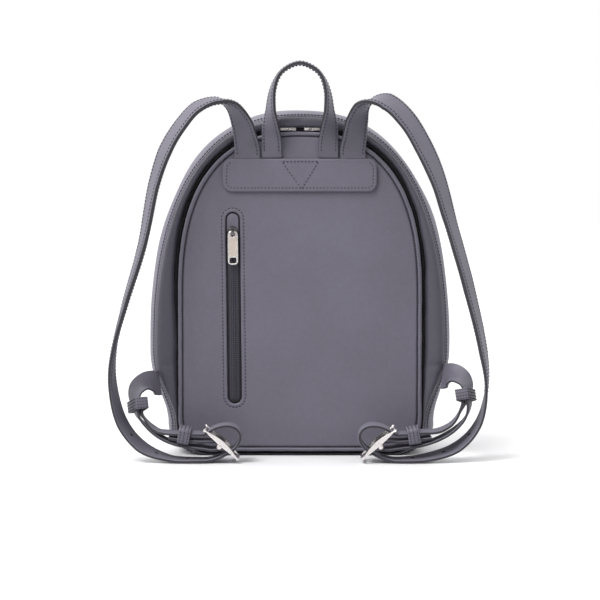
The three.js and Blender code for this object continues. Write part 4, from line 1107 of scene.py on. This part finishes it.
def prong_parts(sign, grow=0.0):
    """The prong's tapered pin, from beside the middle bar to where it rests on the end bar."""
    start = on_buckle(sign, 1.2, BAR_OFF + BAR_RADIUS + CLEARANCE + PRONG_RADIUS - 0.4)
    end = on_buckle(sign, END_BAR_ALONG + 2, 0.4 + BAR_RADIUS + CLEARANCE + PRONG_RADIUS)
    r = PRONG_RADIUS + grow
    stations = [(0, r * 0.7), (0.03, r), (0.6, r), (0.9, r * 0.86), (0.97, r * 0.7), (1.0, r * 0.35)]
    return turned(start, end, stations, 16)


def prong_ring(sign):
    """A ring with a soft section round the middle bar."""
    x, y, z = on_buckle(sign, 0, BAR_OFF)
    inner, outer, half = BAR_RADIUS + 0.3, BAR_RADIUS + 1.4, 1.7
    section = [(inner, -half + 0.3), (inner + 0.3, -half), (outer - 0.4, -half), (outer, -half + 0.4),
               (outer, half - 0.4), (outer - 0.4, half), (inner + 0.3, half), (inner, half - 0.3)]
    angles = turn_angles(32)
    points = [[x + r * math.cos(a), y + off, z + r * math.sin(a)] for a in angles for r, off in section]
    return np.array(points), ring_faces(len(angles), len(section), all_round=True)


def buckle_side_drawing():
    """One side of the frame: nearly straight below, arched on top, pointed at both ends."""
    half, arch = BUCKLE_LENGTH / 2, BUCKLE_ARCH * 1.05
    def curve(a, b, c, count=10):
        t = np.linspace(0, 1, count, endpoint=False)[:, None]
        a, b, c = (np.array(p, float) for p in (a, b, c))
        return (1 - t) ** 2 * a + 2 * (1 - t) * t * b + t**2 * c
    return np.vstack([
        curve((-half, 0.4), (0, -2.4), (half, 0.4), 18),
        curve((half, 0.4), (half * 0.42, arch), (0, arch)),
        curve((0, arch), (-half * 0.42, arch), (-half, 0.4)),
    ])


def buckle(side):
    sign = SIGNS[side]
    along = [sign * math.cos(SLOPE), 0, math.sin(SLOPE)]
    off = [-sign * math.sin(SLOPE), 0, math.cos(SLOPE)]
    parts = []
    for y in (-SIDE_MIDDLE, SIDE_MIDDLE):
        flat = plate(buckle_side_drawing(), [], BUCKLE_SIDE, 0.55)
        parts.append(placed(flat, along, off, [0, 1, 0], [sign * BUCKLE_X, BUCKLE_Y + y, BUCKLE_UP]))
    for end in (-END_BAR_ALONG, END_BAR_ALONG):
        parts.append(cross_rod(on_buckle(sign, end, 0.4), SIDE_MIDDLE, BAR_RADIUS))
    middle = on_buckle(sign, 0, BAR_OFF)
    parts.append(cross_rod(middle, SIDE_MIDDLE + BUCKLE_SIDE / 2 + 1, BAR_RADIUS))
    for y in (-SIDE_MIDDLE, SIDE_MIDDLE):
        parts.append(cross_rod([middle[0], middle[1] + y, middle[2]], BUCKLE_SIDE / 2 + 0.1, 2.3))
    points, faces = joined(parts)
    piece = put("buckle_metal_" + side, points, faces, [SILVER], sharp=METAL_SHARP)
    keep(piece, ["buckle_frame_" + side])
    points, faces = joined([prong_parts(sign), prong_ring(sign)])
    piece = put("buckle_pin_" + side, points, faces, [SILVER], sharp=METAL_SHARP)
    keep(piece, ["buckle_prong_" + side])


def keeper(side, which, centre, wide, thick):
    """A leather loop round the belt and the tab. Returns its stitches."""
    spare, room, rows = KEEPERS[which]
    across = STRAP_WIDTH + 2 * spare
    along = np.cross(wide, thick)
    hole = rounded_box(across, room, 1.2, 5)
    outer = rounded_box(across + 2 * KEEPER_WALL, room + 2 * KEEPER_WALL, 2.7, 8)
    points, faces = placed(plate(outer, [hole], KEEPER_LENGTH, 0.5), wide, thick, along, centre)
    points = points + wobble(points, 11, 0.35, 4)
    piece = put(f"keeper_{which}_leather_{side}", points, faces, [STRAP_LEATHER], sharp=55)
    keep(piece, [f"keeper_{which}_{side}"])
    loop = evenly(outer, 400)
    following = np.roll(loop, -1, axis=0) - np.roll(loop, 1, axis=0)
    out = unit(np.stack([following[:, 1], -following[:, 0]], axis=1))
    parts = []
    for at in rows:
        line = centre + np.outer(loop[:, 0], wide) + np.outer(loop[:, 1], thick) + along * at
        normal = np.outer(out[:, 0], wide) + np.outer(out[:, 1], thick)
        parts.append(stitched_line(line + normal * STITCH_SUNK, normal, pitch=2.5, long=1.7, closed=True))
    return parts


def cut(piece, cutters):
    """Cuts closed shapes out of a piece and keeps the result."""
    helpers = []
    for number, (points, faces) in enumerate(cutters):
        helper = put(f"cutter_{number}", points, faces, [EDGE_PAINT])
        helpers.append(helper)
        step = piece.modifiers.new(f"cut_{number}", "BOOLEAN")
        step.object = helper
        step.operation = "DIFFERENCE"
        step.solver = "EXACT"
    bpy.context.view_layer.update()
    graph = bpy.context.evaluated_depsgraph_get()
    mesh = bpy.data.meshes.new_from_object(piece.evaluated_get(graph))
    piece.modifiers.clear()
    piece.data = mesh
    mesh.set_sharp_from_angle(angle=math.radians(50))
    for helper in helpers:
        bpy.data.objects.remove(helper)


def side_straps(side):
    """The tab, the strap with its belt holes, both keepers and the buckle of one side."""
    sign = SIGNS[side]
    tab = tab_rows(side)
    strap = strap_rows(side, tab)
    slots = [prong_parts(sign, SLOT_ROOM), cross_rod(on_buckle(sign, 0, BAR_OFF), *RING_SLOT)]

    piece = band("side_tab_leather_" + side, tab, STRAP_WIDTH, TAB_STEP, 3.0)
    cut(piece, slots)
    keep(piece, ["side_tab_" + side])

    piece = band("shoulder_strap_leather_" + side, strap, STRAP_WIDTH, STRAP_STEP, 5.0 + sign)
    _, (places, run) = evened(strap, STRAP_STEP)
    prong_at = np.interp(len(STRAPS[side]) + len(LOOP) - 2.5, places, run)
    u = np.interp(prong_at - HOLE_PITCH * np.arange(1, HOLE_COUNT + 1), run, places)
    centre, _, _, thick, depth = frames_at(strap, u)
    drills = [rod(c + t * 3.2, c - t * 3.2, HOLE_RADIUS, 0.01, 20) for c, t in zip(centre, thick)]
    cut(piece, [*slots, *drills])
    keep(piece, ["shoulder_strap_" + side])

    parts = band_stitches(strap, STRAP_WIDTH, (0.25, 13.2))
    centre, along, wide, thick, inward = upper_keeper(side, tab)
    centre = centre + thick * inward * (BELT_THICK + BELT_GAP) / 2
    parts += keeper(side, "upper", centre, wide, thick)
    centre = np.array(beside_buckle(sign, KEEPER_ACROSS[side], KEEPER_RISE))
    thick = np.array([-sign * math.sin(KEEPER_LEAN), 0, math.cos(KEEPER_LEAN)])
    parts += keeper(side, "lower", centre, np.array(BACKWARD, float), thick)
    buckle(side)
    points, faces = joined(parts)
    keep(put("strap_stitches_" + side, points, faces, [THREAD]))


# The zips' hardware

UPRIGHT = ([1, 0, 0], [0, 0, 1], [0, 1, 0])
TAPE_MARGIN = 2.0
TONGUE_MARGIN = 1.3
TONGUE_ARCH = 0.25
RIB_PITCH = 1.2
RIB_STEP = 0.3
POCKET_SLIDER = dict(width=9, length=8, thick=3, bridge_width=2.6, bridge_thick=1.2, room=2.2)
POCKET_PULLER = dict(width=9.7, length=31, thick=1.4, eye_width=3.8, eye_length=4.0, window=6.2)
PULLER_FACE = dict(width=6.8, height=17.6, corner=1.6)
FACE_DROP = 14.2
FACE_THICK = 1.56
MAIN_SLIDER = dict(width=3.4, length=7.5, thick=1.8, bridge_width=1.0, bridge_thick=0.9, room=1.9)
MAIN_PULLER = dict(width=2.8, length=11.6, thick=1.1, eye_width=1.5, eye_length=3.75)
MAIN_SLIDERS_APART = 15.0


def slider_parts(width, length, thick, bridge_width, bridge_thick, room):
    """A slider about the puller's hinge, its face towards -Y and its travel along Z."""
    base = plate(rounded_box(width, length, width * 0.3), [], thick, 0.45)
    span, high, t = length * 0.4, room + bridge_thick, bridge_thick
    shoulder = [(span, high - t * 0.5), (span - t * 0.25, high - t * 0.15), (span - t * 0.7, high)]
    arch = np.array([(-span, -0.2), (span, -0.2), *shoulder, *[(-a, b) for a, b in shoulder[::-1]]])
    inner = np.array([(t - span, 0.02), (span - t, 0.02), (span - t, room), (t - span, room)])
    bridge = plate(arch, [inner], bridge_width, 0.2)
    return [placed(base, *UPRIGHT, [0, (room + thick) / 2, 0]),
            placed(bridge, [0, 0, 1], [0, -1, 0], [1, 0, 0], [0, room / 2, 0])]


def puller_parts(width, length, thick, eye_width, eye_length, window=None):
    """A plate hanging from its hinge, with its eye round the slider's bridge."""
    bar = thick / 2
    tall = length + bar
    eye = rounded_box(eye_width, eye_length, eye_width * 0.45)
    holes = [eye + [0, tall / 2 - 2 * bar - eye_length / 2]]
    if window:
        down = length - window * 0.65
        holes.append(rounded_box(window, window * 0.85, 1.1) + [0, tall / 2 - bar - down])
    flat = plate(rounded_box(width, tall, min(width * 0.42, 3.6), 8), holes, thick, 0.4)
    return [placed(flat, *UPRIGHT, [0, 0, -(length - bar) / 2])]


def into_pocket(parts, y):
    """Parts drawn about a point on the pocket's middle line, carried there and leaned."""
    c, s = math.cos(POCKET_LEAN), math.sin(POCKET_LEAN)
    at = [POCKET_X + HINGE_UP * s, y, POCKET_UP + HINGE_UP * c]
    return [placed(part, [c, 0, -s], [0, 1, 0], [s, 0, c], at) for part in parts]


def pocket_tape():
    flats = []
    for grow, y in ((-CLEARANCE, 0.6), (-TAPE_MARGIN, 0.35)):
        drawing = evenly(in_pocket(stadium(grow)), 160)
        flats.append(placed(plate(drawing, [], 1.2, 0.1), *UPRIGHT, [0, POCKET_TAPE_Y + y, 0]))
    marks = [0] * len(flats[0][1]) + [1] * len(flats[1][1])
    piece = put("pocket_tape_cloth", *joined(flats), [DARK_TAPE, POCKET_TAPE], marks, sharp=50)
    keep(piece, ["pocket_zip_tape"])


def pocket_coil():
    top = HINGE_UP - POCKET_SLIDER["length"] / 2 - CLEARANCE
    foot = -POCKET_LENGTH / 2 + POCKET_WIDTH / 3
    ups = np.arange(foot, top, RIB_STEP)
    rings = []
    for z in ups:
        high = 0.725 + 0.175 * math.cos(2 * math.pi * z / RIB_PITCH)
        half = [(0.35, high), (1.1, high), (1.6, 0.5 * high), (1.7, 0)]
        section = [*[(-a, b) for a, b in reversed(half)], (0, 0.45 * high), *half]
        flat = in_pocket([[a, z] for a, _ in section])
        rings.append([[p[0], POCKET_TAPE_Y - 0.25 - b, p[1]] for p, (_, b) in zip(flat, section)])
    piece = put("pocket_coil_ribs", np.array(rings).reshape(-1, 3), ring_faces(len(ups), 9), [POCKET_TAPE])
    keep(piece, ["pocket_zip_coil"])


def pocket_garage():
    """The leather tongue at the top of the slot, its foot cut in an arch."""
    edge, half = POCKET_LENGTH / 2, POCKET_WIDTH / 2 - TONGUE_MARGIN
    foot = edge - GARAGE_LENGTH
    turn = np.radians(np.linspace(0, 180, 24))
    over = np.stack([half * np.cos(turn), edge - TONGUE_MARGIN - half + half * np.sin(turn)], axis=1)
    rise = GARAGE_LENGTH * TONGUE_ARCH * np.sin(turn)
    under = np.stack([-(half - 0.6) * np.cos(turn), foot + rise], axis=1)
    tongue = in_pocket(np.vstack([over, [[-half, foot]], under, [[half, foot]]]))
    flat = placed(plate(tongue, [], 1.0, 0.3), *UPRIGHT, [0, POCKET_TAPE_Y - CLEARANCE - 0.5, 0])
    keep(put("pocket_garage_leather", *flat, [LEATHER], sharp=60), ["pocket_zip_garage"])


def pocket_hardware():
    """The slider, and the puller with its pale face, which turns on its own body."""
    hinge_y = POCKET_TAPE_Y - CLEARANCE - POCKET_SLIDER["thick"] - POCKET_SLIDER["room"] / 2
    parts = into_pocket(slider_parts(**POCKET_SLIDER), hinge_y)
    # The slider takes the dark metal: painted shade for the shadow that it sits in.
    piece = put("pocket_slider_metal", *joined(parts), [SHADED_SLIDER_METAL], sharp=METAL_SHARP)
    keep(piece, ["pocket_zip_slider"])
    face = plate(rounded_box(*PULLER_FACE.values(), 6), [], FACE_THICK, 0.15)
    parts = [*puller_parts(**POCKET_PULLER), placed(face, *UPRIGHT, [0, 0, -FACE_DROP])]
    parts = into_pocket(parts, hinge_y)
    marks = [0] * len(parts[0][1]) + [1] * len(parts[1][1])
    piece = put("pocket_puller_metal", *joined(parts), [SILVER, CHAMPAGNE], marks, METAL_SHARP)
    keep(piece, ["pocket_zip_puller"], "pocket_puller")


def main_hardware(side):
    """A slider of the main zip, and its puller, which lies along the tape."""
    sign = SIGNS[side]
    hinge_y = ON_TAPE_Y - MAIN_SLIDER["thick"] - MAIN_SLIDER["room"] / 2
    hinge = [sign * MAIN_SLIDERS_APART / 2, hinge_y, PANEL["top"] + CHAIN_OFFSET - 0.1]
    for name, parts, node, body in (
        ("slider", slider_parts(**MAIN_SLIDER), "main_zip_slider_", "bag"),
        ("puller", puller_parts(**MAIN_PULLER), "main_zip_puller_", "main_puller_" + side),
    ):
        lying = [placed(part, [0, 0, sign], [0, 1, 0], [-sign, 0, 0], hinge) for part in parts]
        piece = put(f"main_{name}_metal_{side}", *joined(lying), [SILVER], sharp=METAL_SHARP)
        keep(piece, [node + side], body)


# The room

FLOOR_GREY = (0.93, 0.93, 0.94)
BOUNCE_GREY = (0.35, 0.35, 0.36)
FLOOR_REACH = 6.0
SKY_SHARES = dict(Z=0.75, Y=0.25)
SKY_BESIDE = 0.55
SKY_STOPS = ((0.0, 0.05), (0.8, 1.2), (0.2, 0.22), (0.5, 0.9))
NEAR_LAMP_AT = Vector((-0.55, -0.95, 1.15))
NEAR_LAMP_TO = Vector((0, 0, 0.25))


def pale_floor():
    """A pale floor that throws back less light than it shows."""
    low, high = -FLOOR_REACH, FLOOR_REACH
    mesh = bpy.data.meshes.new("floor")
    mesh.from_pydata([(low, low, 0), (high, low, 0), (high, high, 0), (low, high, 0)], [], [(0, 1, 2, 3)])
    look, tree, shader = new_look("pale_floor", FLOOR_GREY, 0.32)
    cloud = texture(tree, "ShaderNodeTexNoise", Scale=3.0, Detail=2.0)
    seen = tinted(tree, cloud, FLOOR_GREY, 0.995, 1.005)
    ray = tree.nodes.new("ShaderNodeLightPath")
    feeds = {"Fac": ray.outputs["Is Diffuse Ray"], "Color1": seen}
    dimmer = add_node(tree, "ShaderNodeMixRGB", feeds, Color2=(*BOUNCE_GREY, 1))
    coloured(tree, shader, dimmer.outputs["Color"])
    mesh.materials.append(look)
    into_scene("floor", mesh)


def white_room():
    """A white backdrop, and a light that grows upward, to both sides and behind the bag."""
    world = bpy.data.worlds.new("studio")
    bpy.context.scene.world = world
    world.use_nodes = True
    tree = world.node_tree
    way = tree.nodes.new("ShaderNodeTexCoord")
    split = add_node(tree, "ShaderNodeSeparateXYZ", {"Vector": way.outputs["Generated"]})
    beside = add_node(tree, "ShaderNodeMath", {0: split.outputs["X"]}, operation="ABSOLUTE")
    total = None
    for axis, share in SKY_SHARES.items():
        total = scaled_sum(tree, split.outputs[axis], share, total)
    total = scaled_sum(tree, beside.outputs[0], SKY_BESIDE, total)
    sky = add_node(tree, "ShaderNodeValToRGB", {"Fac": total})
    stops = sky.color_ramp.elements
    for number, (position, grey) in enumerate(SKY_STOPS):
        stop = stops[number] if number < 2 else stops.new(position)
        stop.position = position
        stop.color = (grey, grey, grey, 1)
    light = tree.nodes["Background"]
    tree.links.new(sky.outputs["Color"], light.inputs["Color"])
    backdrop = add_node(tree, "ShaderNodeBackground", {}, Color=(1, 1, 1, 1))
    ray = tree.nodes.new("ShaderNodeLightPath")
    feeds = {"Fac": ray.outputs["Is Camera Ray"], 1: light.outputs[0], 2: backdrop.outputs[0]}
    choice = add_node(tree, "ShaderNodeMixShader", feeds)
    tree.links.new(choice.outputs["Shader"], tree.nodes["World Output"].inputs["Surface"])
    bpy.context.scene.view_settings.view_transform = "Standard"


def lamp(name, kind, strength, aim, at=(0, 0, 0), **settings):
    light = bpy.data.lights.new(name, kind)
    light.energy = strength
    for setting, value in settings.items():
        setattr(light, setting, value)
    aimed(into_scene(name, light), at, aim)


def aimed(piece, at, aim):
    piece.location = at
    piece.rotation_euler = Vector(aim).to_track_quat("-Z", "Y").to_euler()


def lamps():
    lamp("near", "AREA", 5.0, NEAR_LAMP_TO - NEAR_LAMP_AT, NEAR_LAMP_AT, size=0.6)
    lamp("key", "SUN", 1.9, (0.5, 0.4, -0.95), angle=math.radians(26))
    lamp("edge", "SUN", 0.5, (0.9, -0.1, -0.5), angle=math.radians(25))


CAMERA_TO = Vector((0, 0, 0.14465))
CAMERA_AWAY = 2.2
CAMERA_LENS = 136.5
CAMERA_SENSOR = 36
CAMERA_TILT = math.radians(4)


def camera():
    lens = bpy.data.cameras.new("camera")
    lens.lens = CAMERA_LENS
    lens.sensor_width = CAMERA_SENSOR
    away = Vector((0, -math.cos(CAMERA_TILT), math.sin(CAMERA_TILT))) * CAMERA_AWAY
    eye = into_scene("camera", lens)
    aimed(eye, CAMERA_TO + away, -away)
    bpy.context.scene.camera = eye


def top_handle():
    rows = handle_rows()
    piece = band("top_handle_leather", rows, HANDLE_WIDTH, 2.2, 8.0)
    keep(piece, ["top_handle"])
    return band_stitches(rows, HANDLE_WIDTH, (0.3, len(rows) - 1.3))


camera()
pale_floor()
white_room()
lamps()
front_shell()
gusset_lip()
zip_tape()
back_panel()
panel_welt()
yoke_patch()
handle_stitches = top_handle()
# The crevice rows among these are stitches and also painted shade lines.
body_stitches = [seam_stitches(), *crevice_stitches_and_shade(), pocket_stitches(), *patch_stitches()]
keep(put("body_stitches", *joined(body_stitches + handle_stitches), [THREAD]))
pocket_tape()
pocket_coil()
pocket_garage()
pocket_hardware()
for side in SIGNS:
    zip_teeth(side)
    main_hardware(side)
    side_straps(side)
